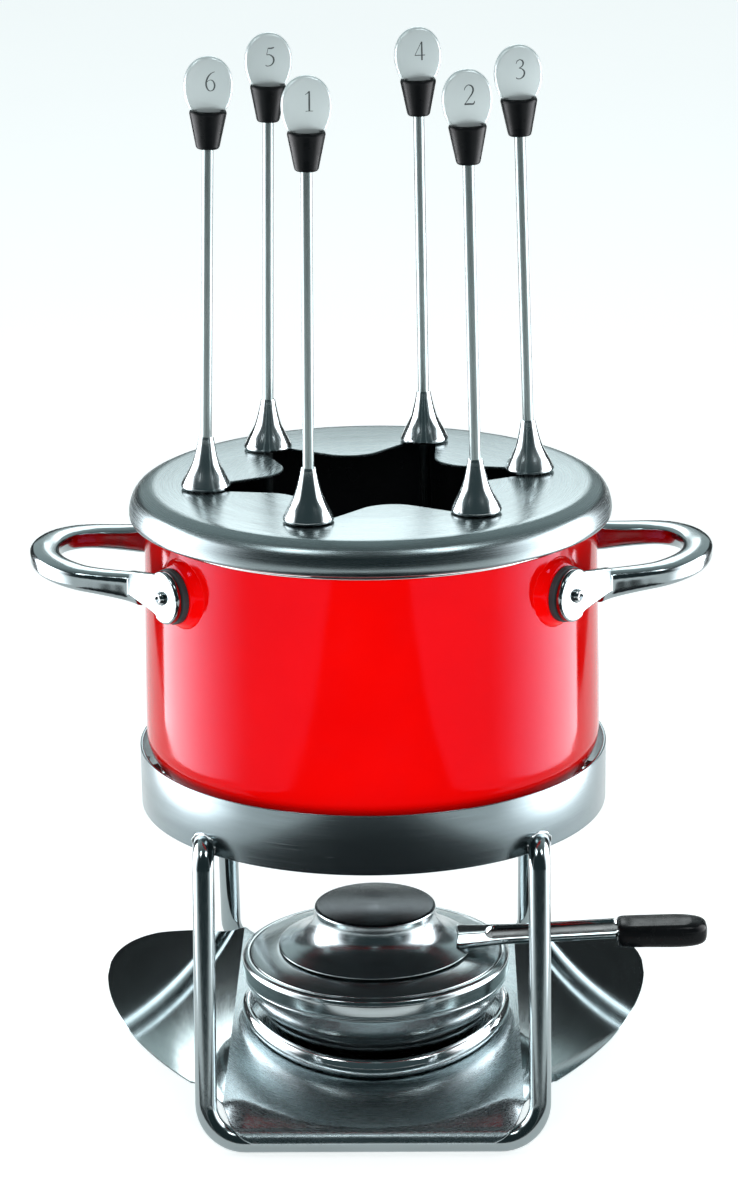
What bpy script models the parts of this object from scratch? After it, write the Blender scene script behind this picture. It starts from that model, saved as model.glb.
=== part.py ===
"""Fondue set for the table: enamelled pot with a fork-rest lid and six forks,
standing in a ring stand over a spirit burner with its snuffer.

Metres, +Z up.  The table is z = 0, the pot's axis is the Z axis, the loop
handles lie along X and the snuffer's grip points to +X.
"""

import math

import bmesh
import bpy
from mathutils import Matrix, Vector

# ---------------------------------------------------------------- dimensions
GAP = 0.0003                    # clearance between pieces that meet

# stand
RING_R = 0.0921                 # outer radius of the support ring
RING_T = 0.0012
RING_Z0, RING_Z1 = 0.1102, 0.1340
ROD_R = 0.0042                  # 8.4 mm steel rod
LEG_X = 0.0637                  # half distance between the uprights of a frame
LEG_TOP_Y, LEG_FOOT_Y = 0.0740, 0.0974
LEG_TOP_Z = 0.1132
LEG_BEND_R, FOOT_BEND_R = 0.009, 0.015
TRAY_T = 0.0006
TRAY_FLOOR = 0.0094             # top of the tray's sheet on the centre line
TRAY_CURVE = 2.20               # the sheet rises by this times x squared
TRAY_R = 0.1080                 # outline of the wings, a little less near a leg
TRAY_Y, TAB_X = 0.1024, 0.046   # the tab folded over a foot bar
SEAT_R, SEAT_IN = 0.0542, 0.0508

# pot
POT_R, POT_FOOT_R, POT_WALL = 0.0880, 0.0893, 0.0016
POT_Z0, POT_Z1 = 0.1215, 0.2350
POT_CORNER = 0.0185
BAND_Z0 = 0.2245                # bare steel band under the rim
LUG_ANGLE = math.radians(36.5)  # each lug sits this far round from the X axis
LUG_Z, LUG_R = 0.2088, 0.0102
BOSS_FACE, GASKET_FACE, LUG_FACE = 0.0912, 0.0938, 0.0970
SCREW_R, SCREW_HEAD_R = 0.0016, 0.0027

# lid
LID_R, LID_TOP, LID_SHEET = 0.0938, 0.2392, 0.0012
LID_EDGE_Z = 0.2268
FORK_CIRCLE = 0.0636
FORK_PHASE = 10.2
TONGUE_TIP, TONGUE_R = 0.0375, 0.0150
SLOT_END, SLOT_HALF = 0.0695, 0.0030

# forks, measured along their own axis from the bell's base
BELL_BASE_Z = 0.2397
BELL_R, BELL_TOP_R, BELL_H = 0.0096, 0.0029, 0.0200
SHAFT_R = 0.0021
COLLAR_Z0, COLLAR_Z1 = 0.1312, 0.1463
COLLAR_R0, COLLAR_R1 = 0.0045, 0.0071
PADDLE_TOP, PADDLE_W, PADDLE_T = 0.1660, 0.0184, 0.0034
PADDLE_TURN = 12.0              # the paddles face a little to the right
SHAFT_FOOT, TINE_FOOT = -0.064, -0.098
FORK_LEAN = 1.7                 # degrees a fork tips inwards when right at the side
FORK_ORDER = (3, 4, 5, 6, 1, 2)  # fork numbers in their order round the circle

# burner and snuffer
BOWL_R = 0.0463
HOUSING_R, HOUSING_FOOT_R = 0.0540, 0.0482
HOUSING_Z0, TIER_Z, HOUSING_Z1 = 0.0236, 0.0352, 0.0430
MOUTH_R = 0.0340
CAP_R, CAP_TOP_R = 0.0390, 0.0237
CAP_Z0, CAP_Z1 = 0.0459, 0.0627
ARM_X1, ARM_W, ARM_H = 0.0990, 0.0168, 0.0026
GRIP_X0, GRIP_X1 = 0.0975, 0.1334


# ------------------------------------------------------------------- helpers
def material(name, colour, roughness, metallic):
    made = bpy.data.materials.new(name)
    made.use_nodes = True
    shader = made.node_tree.nodes["Principled BSDF"]
    shader.inputs["Base Color"].default_value = (*colour, 1.0)
    shader.inputs["Roughness"].default_value = roughness
    shader.inputs["Metallic"].default_value = metallic
    return made


def finish(name, bm, mat, parent=None, smooth_angle=35.0):
    """Closes a bmesh into a named object with outward normals."""
    bmesh.ops.remove_doubles(bm, verts=bm.verts, dist=1e-7)
    bmesh.ops.recalc_face_normals(bm, faces=bm.faces)
    mesh = bpy.data.meshes.new(name)
    bm.to_mesh(mesh)
    bm.free()
    mesh.shade_smooth()
    mesh.set_sharp_from_angle(angle=math.radians(smooth_angle))
    mesh.materials.append(mat)
    obj = bpy.data.objects.new(name, mesh)
    bpy.context.scene.collection.objects.link(obj)
    obj.parent = parent
    return obj


def turned(name, profile, mat, segments=48, closed=True, parent=None, start=0.0):
    """Turns an (r, z) profile round Z. closed: the profile is a loop clear of
    the axis; otherwise it runs from axis to axis."""
    bm = bmesh.new()
    rings = []
    for i in range(segments):
        a = start + 2 * math.pi * i / segments
        rings.append(
            [bm.verts.new((r * math.cos(a), r * math.sin(a), z)) for r, z in profile]
        )
    count = len(profile)
    for i in range(segments):
        one, two = rings[i], rings[(i + 1) % segments]
        for j in range(count if closed else count - 1):
            k = (j + 1) % count
            corners = [one[j], two[j], two[k], one[k]]
            if profile[j][0] == 0:
                corners = [one[j], two[k], one[k]]
            elif profile[k][0] == 0:
                corners = [one[j], two[j], one[k]]
            bm.faces.new(corners)
    return finish(name, bm, mat, parent)


def arc(cx, cz, r, a0, a1, steps):
    """Points of an arc in a profile, angles in degrees from +r towards +z."""
    out = []
    for i in range(steps + 1):
        a = math.radians(a0 + (a1 - a0) * i / steps)
        out.append((cx + r * math.cos(a), cz + r * math.sin(a)))
    return out


def sweep(name, path, sections, mat, parent=None, up=Vector((0, 0, 1))):
    """Skins sections, lists of (side, height), along a path of points."""
    bm = bmesh.new()
    rings = []
    last = len(path) - 1
    for i, point in enumerate(path):
        ahead = (path[min(i + 1, last)] - path[max(i - 1, 0)]).normalized()
        side = ahead.cross(up).normalized()
        top = side.cross(ahead).normalized()
        rings.append([bm.verts.new(point + side * s + top * h) for s, h in sections[i]])
    skin(bm, rings)
    return finish(name, bm, mat, parent)


def skin(bm, rings):
    """Joins successive rings of vertices and caps both ends."""
    n = len(rings[0])
    for one, two in zip(rings, rings[1:]):
        for j in range(n):
            bm.faces.new((one[j], one[(j + 1) % n], two[(j + 1) % n], two[j]))
    bm.faces.new(rings[0][::-1])
    bm.faces.new(rings[-1])


def tube(name, path, radius, mat, sides=10):
    """A rod of many flats along a path, its section carried without twist and
    turned so that a flat lies level under the middle of the path."""
    bm = bmesh.new()
    frames = []
    normal = None
    last = len(path) - 1
    for i, point in enumerate(path):
        ahead = (path[min(i + 1, last)] - path[max(i - 1, 0)]).normalized()
        if normal is None:
            normal = ahead.orthogonal()
        normal = (normal - ahead * normal.dot(ahead)).normalized()
        frames.append((point, normal, ahead.cross(normal)))
    _, normal, other = frames[len(path) // 2]
    turn = math.atan2(-other.z, -normal.z)
    rings = []
    for point, normal, other in frames:
        ring = []
        for j in range(sides):
            a = 2 * math.pi * (j + 0.5) / sides + turn
            ring.append(
                bm.verts.new(point + radius * (normal * math.cos(a) + other * math.sin(a)))
            )
        rings.append(ring)
    skin(bm, rings)
    return finish(name, bm, mat)


def rounded(path, radii, steps):
    """A path with its inner corners turned into arcs."""
    out = [path[0]]
    for i in range(1, len(path) - 1):
        a, b, c = path[i - 1], path[i], path[i + 1]
        to_a, to_c = (a - b).normalized(), (c - b).normalized()
        half = to_a.angle(to_c) / 2
        run = radii[i - 1] / math.tan(half)
        centre = b + (to_a + to_c).normalized() * (radii[i - 1] / math.sin(half))
        start, end = b + to_a * run - centre, b + to_c * run - centre
        total = start.angle(end)
        for k in range(steps + 1):
            t = k / steps
            out.append(
                centre
                + (start * math.sin((1 - t) * total) + end * math.sin(t * total))
                / math.sin(total)
            )
    out.append(path[-1])
    return out


def slab(name, outline, z0, z1, mat, matrix=None, parent=None):
    """An outline of (x, y) points extruded from z0 to z1, then placed."""
    bm = bmesh.new()
    low = [bm.verts.new((x, y, z0)) for x, y in outline]
    high = [bm.verts.new((x, y, z1)) for x, y in outline]
    skin(bm, [low, high])
    if matrix is not None:
        bmesh.ops.transform(bm, matrix=matrix, verts=bm.verts)
    return finish(name, bm, mat, parent)


def hide(cutter):
    cutter.hide_render = True
    cutter.display_type = "WIRE"
    return cutter


def boolean(obj, cutter, operation="DIFFERENCE"):
    made = obj.modifiers.new(f"{operation.lower()}_{cutter.name}", "BOOLEAN")
    made.operation = operation
    made.object = hide(cutter)


def circle(radius, count, cx=0.0, cy=0.0, start=0.0):
    return [
        (
            cx + radius * math.cos(start + 2 * math.pi * i / count),
            cy + radius * math.sin(start + 2 * math.pi * i / count),
        )
        for i in range(count)
    ]


def ellipse_section(width, height, count=12, power=0.75):
    """Section between an ellipse and a rounded rectangle."""
    out = []
    for i in range(count):
        a = 2 * math.pi * (i + 0.5) / count
        c, s = math.cos(a), math.sin(a)
        out.append(
            (
                math.copysign(abs(c) ** power, c) * width / 2,
                math.copysign(abs(s) ** power, s) * height / 2,
            )
        )
    return out


# --------------------------------------------------------------------- stand
def support_ring(mat):
    inner = RING_R - RING_T
    turned(
        "support_ring",
        [
            (inner, RING_Z0),
            (RING_R, RING_Z0),
            (RING_R, RING_Z1),
            (inner, RING_Z1),
        ],
        mat,
        56,
    )


def pot_rests(mat):
    """Bent tabs welded inside the ring; the pot's base stands on them."""
    wall = RING_R - RING_T - GAP
    for i, a in enumerate((0, 90, 180, 270)):
        shelf = POT_Z0 - GAP
        profile = [
            (wall, 0.1106),
            (wall, 0.1236),
            (wall - 0.0013, 0.1236),
            (wall - 0.0016, shelf - 0.0012),
            (wall - 0.0060, shelf),
            (wall - 0.0225, shelf),
            (wall - 0.0225, shelf - 0.0014),
            (wall - 0.0080, shelf - 0.0014),
            (wall - 0.0016, 0.1106),
        ]
        half = 0.0065
        bm = bmesh.new()
        one, two = [], []
        for r, z in profile:
            # the back face follows the ring's wall closely enough to stay clear
            back = math.sqrt(r * r - half * half)
            one.append(bm.verts.new((back, -half, z)))
            two.append(bm.verts.new((back, half, z)))
        skin(bm, [one, two])
        rest = finish(f"pot_rest_{i + 1}", bm, mat)
        rest.rotation_euler = (0, 0, math.radians(a))


def leg_frames(mat):
    """Two rods, each bent into a U that leans outwards to its foot bar. The
    upper ends turn in and butt onto the ring."""
    slope = (LEG_FOOT_Y - LEG_TOP_Y) / (LEG_TOP_Z - ROD_R)
    for name, side in (("front_leg_frame", -1), ("rear_leg_frame", 1)):
        corners = []
        for x in (-LEG_X, LEG_X):
            ends = [
                Vector((x, side * 0.052, LEG_TOP_Z)),
                Vector((x, side * LEG_TOP_Y, LEG_TOP_Z)),
                Vector((x, side * (LEG_TOP_Y + slope * (LEG_TOP_Z - ROD_R)), ROD_R)),
            ]
            corners += ends if x < 0 else ends[::-1]
        path = rounded(corners, [LEG_BEND_R, FOOT_BEND_R, FOOT_BEND_R, LEG_BEND_R], 4)
        frame = tube(name, path, ROD_R, mat, 12)
        # the level flat under the foot bar stands on the table
        low = min(v.co.z for v in frame.data.vertices)
        for v in frame.data.vertices:
            v.co.z -= low
        cutter = turned(
            "cope_" + name,
            [(0, 0.09), (RING_R + GAP, 0.09), (RING_R + GAP, 0.15), (0, 0.15)],
            mat,
            96,
            closed=False,
        )
        boolean(frame, cutter)


def trough(x):
    """Top of the tray's sheet away from the bars, a curve along X only."""
    return TRAY_FLOOR + TRAY_CURVE * x * x


def tray_half(x):
    """Half depth of the sheet at x: round wings, and between the legs a tab
    that reaches over the foot bar."""
    reach = abs(x)
    stations = (
        (0.0, TRAY_Y),
        (TAB_X, TRAY_Y),
        (TAB_X + 0.0045, TRAY_Y - 0.0013),
        (TAB_X + 0.0080, TRAY_Y - 0.0046),
        (TAB_X + 0.0108, TRAY_Y - 0.0100),
        (LEG_X - 0.0032, 0.0862),
        (LEG_X + 0.0010, 0.0812),
        (0.0700, 0.0772),
    )
    for (x0, y0), (x1, y1) in zip(stations, stations[1:]):
        if reach <= x1:
            return y0 + (y1 - y0) * (reach - x0) / (x1 - x0)
    radius = TRAY_R - 0.13 * max(0.0920 - reach, 0.0)
    return math.sqrt(max(radius**2 - reach**2, 0.0))


def tray_height(x, y):
    """The trough, drawn down in front to lie on the bar and fold over it."""
    reach = abs(x)
    wrap = ROD_R + GAP + TRAY_T + 0.0001
    over = abs(y) - LEG_FOOT_Y
    # where the bar turns up into a leg its top is higher by the bend's slope
    run = min(max(reach - (LEG_X - FOOT_BEND_R), 0.0), FOOT_BEND_R * 0.9)
    flat = math.sqrt(1 - (run / FOOT_BEND_R) ** 2)
    lift = FOOT_BEND_R * (1 - flat)
    if over > 0:
        rest = math.sqrt(wrap**2 - min(over, wrap * 0.985) ** 2)
    else:
        rest = wrap - 0.45 * over
    rest = ROD_R + lift + rest / flat
    high = trough(x)
    blend = 0.0003
    return (high + rest) / 2 - math.sqrt(((high - rest) / 2) ** 2 + (blend / 2) ** 2)


def drip_tray(mat):
    """A round sheet bent up into two wings, with a tab over each bar."""
    marks = [TAB_X * f for f in (0.0, 0.35, 0.7, 0.9, 1.0)]
    marks += [TAB_X + d for d in (0.0025, 0.0045, 0.0065, 0.0080, 0.0108)]
    marks += [LEG_X - 0.0032, LEG_X + 0.0010, 0.0700, 0.0790, 0.0870]
    marks += [0.0945, 0.1005, 0.1045, 0.1068, 0.1078]
    columns = [-m for m in marks[:0:-1]] + marks
    rows = [-1.0, -0.978, -0.955, -0.93, -0.86, 0.0]
    rows += [-v for v in rows[-2::-1]]
    bm = bmesh.new()
    top, bottom = [], []
    for x in columns:
        half = tray_half(x)
        line_top, line_low = [], []
        for v in rows:
            y = half * v
            z = tray_height(x, y)
            d = 0.0003
            sx = (tray_height(x + d, y) - tray_height(x - d, y)) / (2 * d)
            # the fold is left out of the normal: the sheet thins at its edge
            drop = TRAY_T * math.sqrt(1 + sx * sx)
            line_top.append(bm.verts.new((x, y, z)))
            line_low.append(bm.verts.new((x, y, z - drop)))
        top.append(line_top)
        bottom.append(line_low)
    last, wide = len(rows) - 1, len(columns) - 1
    for i in range(wide):
        for j in range(last):
            bm.faces.new((top[i][j], top[i + 1][j], top[i + 1][j + 1], top[i][j + 1]))
            bm.faces.new(
                (bottom[i][j], bottom[i][j + 1], bottom[i + 1][j + 1], bottom[i + 1][j])
            )
        for j in (0, last):
            bm.faces.new((top[i][j], bottom[i][j], bottom[i + 1][j], top[i + 1][j]))
    for i in (0, wide):
        for j in range(last):
            bm.faces.new((top[i][j], top[i][j + 1], bottom[i][j + 1], bottom[i][j]))
    return finish("drip_tray", bm, mat)


def burner_seat(mat):
    """A rolled collar welded on the tray; it follows the tray's curve."""
    profile = [
        (SEAT_IN, 0.0005),
        (SEAT_R - 0.0022, 0.0005),
        (SEAT_R - 0.0004, 0.0028),
        (SEAT_R, 0.0044),
        (SEAT_R - 0.0004, 0.0060),
        (SEAT_R - 0.0016, 0.0076),
        (SEAT_IN, 0.0080),
    ]
    bm = bmesh.new()
    rings = []
    segments = 40
    for i in range(segments):
        a = 2 * math.pi * i / segments
        rings.append(
            [
                bm.verts.new(
                    (r * math.cos(a), r * math.sin(a), trough(r * math.cos(a)) + h)
                )
                for r, h in profile
            ]
        )
    for one, two in zip(rings, rings[1:] + rings[:1]):
        for j in range(len(profile)):
            k = (j + 1) % len(profile)
            bm.faces.new((one[j], two[j], two[k], one[k]))
    finish("burner_seat_ring", bm, mat)


# ----------------------------------------------------------------------- pot
def lug_frame(sx, sy):
    """Matrix whose +Z leaves the pot at a lug, with +X towards the handle's
    middle and +Y up."""
    out = Vector((sx * math.cos(LUG_ANGLE), sy * math.sin(LUG_ANGLE), 0))
    along = Vector((sx * math.sin(LUG_ANGLE), -sy * math.cos(LUG_ANGLE), 0))
    basis = Matrix((along, Vector((0, 0, 1)), out)).transposed().to_4x4()
    return Matrix.Translation((0, 0, LUG_Z)) @ basis


CORNERS = ((-1, -1), (-1, 1), (1, -1), (1, 1))
CORNER_NAMES = ("front_left", "rear_left", "front_right", "rear_right")


def pot(enamel, steel):
    inner = POT_R - POT_WALL
    base = POT_Z0
    c = POT_CORNER
    profile = [(0, base), (POT_FOOT_R - c, base)]
    profile += arc(POT_FOOT_R - c, base + c, c, -90, 0, 5)[1:]
    profile += [
        (POT_R, BAND_Z0 - GAP),
        (POT_R - 0.0004, BAND_Z0 - GAP),
        (POT_R - 0.0004, POT_Z1),
        (inner, POT_Z1),
    ]
    ci = c - POT_WALL
    profile += arc(POT_FOOT_R - POT_WALL - ci, base + 0.003 + ci, ci, 0, -90, 4)
    profile += [(0, base + 0.003)]
    body = turned("pot_body", profile, enamel, 40, closed=False)
    for (sx, sy), place in zip(CORNERS, CORNER_NAMES):
        bm = bmesh.new()
        rings = []
        for r, d in ((0.0138, 0.0865), (0.0130, 0.0885), (0.0112, BOSS_FACE)):
            rings.append([bm.verts.new((x, y, d)) for x, y in circle(r, 16)])
        skin(bm, rings)
        bmesh.ops.transform(bm, matrix=lug_frame(sx, sy), verts=bm.verts)
        boolean(body, finish("boss_" + place, bm, enamel), "UNION")
    turned(
        "pot_rim_band",
        [
            (POT_R - 0.0001, BAND_Z0),
            (POT_R + 0.0008, BAND_Z0),
            (POT_R + 0.0012, BAND_Z0 + 0.0006),
            (POT_R + 0.0012, POT_Z1 - 0.0030),
            (POT_R + 0.0004, POT_Z1 - 0.0016),
            (POT_R - 0.0001, POT_Z1 - 0.0016),
        ],
        steel,
        40,
    )


def lug_outline(radius, tail):
    """A round lug with a narrowing tail towards the handle's arm."""
    points = [
        (radius * math.cos(a), radius * math.sin(a))
        for a in (math.radians(70 + 220 * i / 12) for i in range(13))
    ]
    return points + [(tail, -radius * 0.42), (tail, radius * 0.50)]


def arm_section(width, height, out):
    """Domed top, upright outer face and a bevel below it; out is the sign of
    the side that faces away from the loop's opening."""
    w, h = width * out, height
    points = [
        (0.50 * w, 0.28 * h),
        (0.36 * w, 0.46 * h),
        (0.00 * w, 0.52 * h),
        (-0.34 * w, 0.44 * h),
        (-0.50 * w, 0.22 * h),
        (-0.44 * w, -0.34 * h),
        (-0.10 * w, -0.50 * h),
        (0.30 * w, -0.46 * h),
        (0.50 * w, -0.14 * h),
    ]
    return points if out > 0 else points[::-1]


def handles(steel, rubber, screw_steel):
    for name, sx in (("left_handle", -1), ("right_handle", 1)):
        # plan of the front half: along the arm, then round the outer end, as
        # x, y, width, height and middle height of each section
        half = [
            (0.0862, 0.0374, 0.0084, 0.0112, 0.2056),
            (0.0905, 0.0338, 0.0094, 0.0110, 0.2062),
            (0.0970, 0.0322, 0.0103, 0.0100, 0.2070),
            (0.1040, 0.0309, 0.0110, 0.0092, 0.2078),
            (0.1110, 0.0290, 0.0117, 0.0088, 0.2086),
            (0.1172, 0.0250, 0.0120, 0.0086, 0.2094),
            (0.1226, 0.0185, 0.0118, 0.0084, 0.2100),
            (0.1261, 0.0098, 0.0115, 0.0082, 0.2104),
        ]
        rows = [(x, -y, w, h, z) for x, y, w, h, z in half]
        rows.append((0.1276, 0.0, 0.0114, 0.0082, 0.2106))
        rows += half[::-1]
        path = [Vector((sx * x, y, z)) for x, y, w, h, z in rows]
        out = 1 if sx > 0 else -1
        sections = [arm_section(w, h, out) for x, y, w, h, z in rows]
        handle = sweep(name, path, sections, steel)
        for sy, end in ((-1, "front"), (1, "rear")):
            place = lug_frame(sx, sy)
            plate = slab(
                f"{name}_{end}_plate",
                lug_outline(LUG_R, 0.0245),
                GASKET_FACE + GAP,
                LUG_FACE,
                steel,
                place,
            )
            boolean(handle, plate, "UNION")
        for sy, end in ((-1, "front"), (1, "rear")):
            hole = slab(
                f"{name}_{end}_hole",
                circle(SCREW_R + GAP, 10),
                GASKET_FACE - 0.001,
                LUG_FACE + 0.004,
                steel,
                lug_frame(sx, sy),
            )
            boolean(handle, hole)
    for (sx, sy), place in zip(CORNERS, CORNER_NAMES):
        frame = lug_frame(sx, sy)
        gasket = slab(
            f"{place}_gasket",
            lug_outline(LUG_R + 0.0005, 0.0135),
            BOSS_FACE + GAP,
            GASKET_FACE,
            rubber,
            frame,
        )
        hole = slab(
            f"{place}_gasket_hole",
            circle(SCREW_R + GAP, 10),
            BOSS_FACE - 0.001,
            GASKET_FACE + 0.001,
            rubber,
            frame,
        )
        boolean(gasket, hole)
        screw = turned(
            f"{place}_screw",
            [
                (0, BOSS_FACE + 2 * GAP),
                (SCREW_R, BOSS_FACE + 2 * GAP),
                (SCREW_R, LUG_FACE + GAP),
                (SCREW_HEAD_R, LUG_FACE + GAP),
                (SCREW_HEAD_R, LUG_FACE + 0.0008),
                (SCREW_HEAD_R * 0.72, LUG_FACE + 0.0019),
                (0, LUG_FACE + 0.0024),
            ],
            screw_steel,
            10,
            closed=False,
        )
        screw.matrix_world = frame


# ----------------------------------------------------------------------- lid
def star_outline():
    """The opening: six pointed slots that reach the forks, between convex
    tongues whose tips lie on a circle."""
    points = []
    for k in range(6):
        base = math.radians(FORK_PHASE + 60 * k)
        # tangent from the slot's corner to the tongue's round tip
        corner = Vector((SLOT_END - 0.0022, SLOT_HALF))
        centre = Vector((math.cos(math.pi / 6), math.sin(math.pi / 6))) * (
            TONGUE_TIP + TONGUE_R
        )
        gap = centre - corner
        lean = math.asin(TONGUE_R / gap.length)
        heading = math.atan2(gap.y, gap.x) + lean
        length = gap.length * math.cos(lean)
        touch = corner + Vector((math.cos(heading), math.sin(heading))) * length
        begin = math.atan2(touch.y - centre.y, touch.x - centre.x)
        middle = math.pi / 6 + math.pi
        begin = begin % (2 * math.pi)
        half = [
            Vector((SLOT_END, 0)),
            Vector((SLOT_END - 0.0007, SLOT_HALF * 0.7)),
            corner,
        ]
        steps = 6
        for i in range(steps + 1):
            a = begin + (middle - begin) * i / steps
            half.append(centre + TONGUE_R * Vector((math.cos(a), math.sin(a))))
        # the other half of the tongue and the next slot's near side mirror this
        axis = math.pi / 6
        mirror = []
        for p in half[1:-1][::-1]:
            r, a = p.length, math.atan2(p.y, p.x)
            a = 2 * axis - a
            mirror.append(Vector((r * math.cos(a), r * math.sin(a))))
        for p in half + mirror:
            r, a = p.length, math.atan2(p.y, p.x) + base
            points.append((r * math.cos(a), r * math.sin(a)))
    return points


def lid(mat):
    t = LID_SHEET
    top, edge = LID_TOP, LID_EDGE_Z
    r = LID_R
    outer = [(0, top), (r - 0.0108, top), (r - 0.0068, top - 0.0006)]
    outer += [(r - 0.0036, top - 0.0022), (r - 0.0015, top - 0.0046)]
    outer += [(r - 0.0004, top - 0.0076), (r, top - 0.0102)]
    outer += [(r - 0.0002, edge + 0.0008), (r - 0.0010, edge)]
    inner = [(r - 0.0019, edge + 0.0001), (r - t - 0.0001, top - 0.0098)]
    inner += [(r - t - 0.0006, top - 0.0076), (r - 0.0028, top - 0.0050)]
    inner += [(r - 0.0047, top - 0.0032), (r - 0.0072, top - 0.0018)]
    inner += [(r - 0.0110, top - t), (0, top - t)]
    plate = turned("fork_rest_lid", outer + inner, mat, 40, closed=False)
    star = slab("star_opening", star_outline(), top - 0.01, top + 0.01, mat)
    boolean(plate, star)


# --------------------------------------------------------------------- forks
def fork(number, place, steel, black, satin):
    angle = math.radians(FORK_PHASE + 60 * place)
    # loose in its slot, a fork tips towards the middle, more the further out it is
    lean = -FORK_LEAN * math.cos(angle)
    axis = bpy.data.objects.new(f"fork_{number}_axis", None)
    axis.empty_display_size = 0.02
    axis.location = (
        FORK_CIRCLE * math.cos(angle) - 0.0005,
        FORK_CIRCLE * math.sin(angle),
        BELL_BASE_Z,
    )
    axis.rotation_euler = (0, math.radians(lean), 0)
    bpy.context.scene.collection.objects.link(axis)

    shaft = turned(
        f"fork_{number}_shaft",
        [
            (0, SHAFT_FOOT - 0.004),
            (SHAFT_R * 0.8, SHAFT_FOOT - 0.004),
            (SHAFT_R, SHAFT_FOOT),
            (SHAFT_R, COLLAR_Z0 + 0.0060),
            (0, COLLAR_Z0 + 0.0060),
        ],
        steel,
        8,
        closed=False,
        parent=axis,
    )
    # flat two-tined head, lying along the slot so that it can be drawn out
    w, b, t = 0.0034, 0.0009, 0.0011
    low, yoke = TINE_FOOT, SHAFT_FOOT - 0.006
    outline = [
        (-b, SHAFT_FOOT + 0.004),
        (-w, yoke),
        (-w, low + 0.004),
        (-w + 0.0006, low),
        (-w + 0.0017, low + 0.005),
        (-w + 0.0017, yoke - 0.004),
        (w - 0.0017, yoke - 0.004),
        (w - 0.0017, low + 0.005),
        (w - 0.0006, low),
        (w, low + 0.004),
        (w, yoke),
        (b, SHAFT_FOOT + 0.004),
    ]
    upright = Matrix.Rotation(angle, 4, "Z") @ Matrix.Rotation(math.pi / 2, 4, "X")
    head = slab(
        f"fork_{number}_head", outline, -t / 1.3, t / 1.3, steel, upright, axis
    )
    boolean(shaft, head, "UNION")

    bore = SHAFT_R + GAP
    bell = [
        (bore, 0.0),
        (BELL_R - 0.0004, 0.0),
        (BELL_R, 0.0006),
        (BELL_R - 0.0004, 0.0014),
        (0.0081, 0.0042),
        (0.0064, 0.0074),
        (0.0042, 0.0136),
        (BELL_TOP_R, BELL_H),
        (bore, BELL_H),
    ]
    turned(f"fork_{number}_bell", bell, steel, 12, parent=axis)

    # tapered collar with a blind bore for the shaft and a slot for the paddle
    collar = [
        (0, COLLAR_Z0 + 0.0060 + GAP),
        (bore, COLLAR_Z0 + 0.0060 + GAP),
        (bore, COLLAR_Z0),
        (COLLAR_R0 - 0.0006, COLLAR_Z0),
        (COLLAR_R0, COLLAR_Z0 + 0.0008),
        (COLLAR_R1, COLLAR_Z1 - 0.0014),
        (COLLAR_R1 - 0.0006, COLLAR_Z1 - 0.0002),
        (COLLAR_R1 - 0.0022, COLLAR_Z1 - 0.0010),
        (0, COLLAR_Z1 - 0.0030),
    ]
    grip = turned(f"fork_{number}_collar", collar, black, 12, closed=False, parent=axis)
    slot_half = 0.0056
    face = Matrix.Rotation(math.radians(PADDLE_TURN), 4, "Z")
    face = face @ Matrix.Rotation(math.pi / 2, 4, "X")
    slot = slab(
        f"fork_{number}_slot",
        [
            (-slot_half, COLLAR_Z1 - 0.0058),
            (slot_half, COLLAR_Z1 - 0.0058),
            (slot_half, COLLAR_Z1 + 0.004),
            (-slot_half, COLLAR_Z1 + 0.004),
        ],
        -PADDLE_T / 2 - GAP,
        PADDLE_T / 2 + GAP,
        black,
        face,
        axis,
    )
    boolean(grip, slot)

    # egg-shaped number paddle, wider towards the top, on a tang in the collar
    foot = COLLAR_Z1 - 0.0055
    neck = COLLAR_Z1 + 0.0008
    tang = slot_half - GAP
    outline = [(tang, foot), (tang, neck)]
    steps = 18
    for i in range(steps):
        a = 2 * math.pi * (i + 0.5) / steps - math.pi / 2
        v = math.sin(a)
        z = foot + (PADDLE_TOP - foot) * (0.5 + v / 2)
        if z > neck + 0.0004:
            outline.append((PADDLE_W / 2 * math.cos(a) * (1.0 + 0.13 * v), z))
    outline += [(-tang, neck), (-tang, foot)]
    bm = bmesh.new()
    rings = []
    centre = Vector((0, (foot + PADDLE_TOP) / 2))
    for y, scale in (
        (-PADDLE_T / 2, 0.94),
        (-PADDLE_T / 2 + 0.0006, 1.0),
        (PADDLE_T / 2 - 0.0006, 1.0),
        (PADDLE_T / 2, 0.94),
    ):
        rings.append(
            [
                bm.verts.new((x * scale, y, centre.y + (z - centre.y) * scale))
                for x, z in outline
            ]
        )
    skin(bm, rings)
    turn = Matrix.Rotation(math.radians(PADDLE_TURN), 4, "Z")
    bmesh.ops.transform(bm, matrix=turn, verts=bm.verts)
    finish(f"fork_{number}_paddle", bm, satin, axis)


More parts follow.
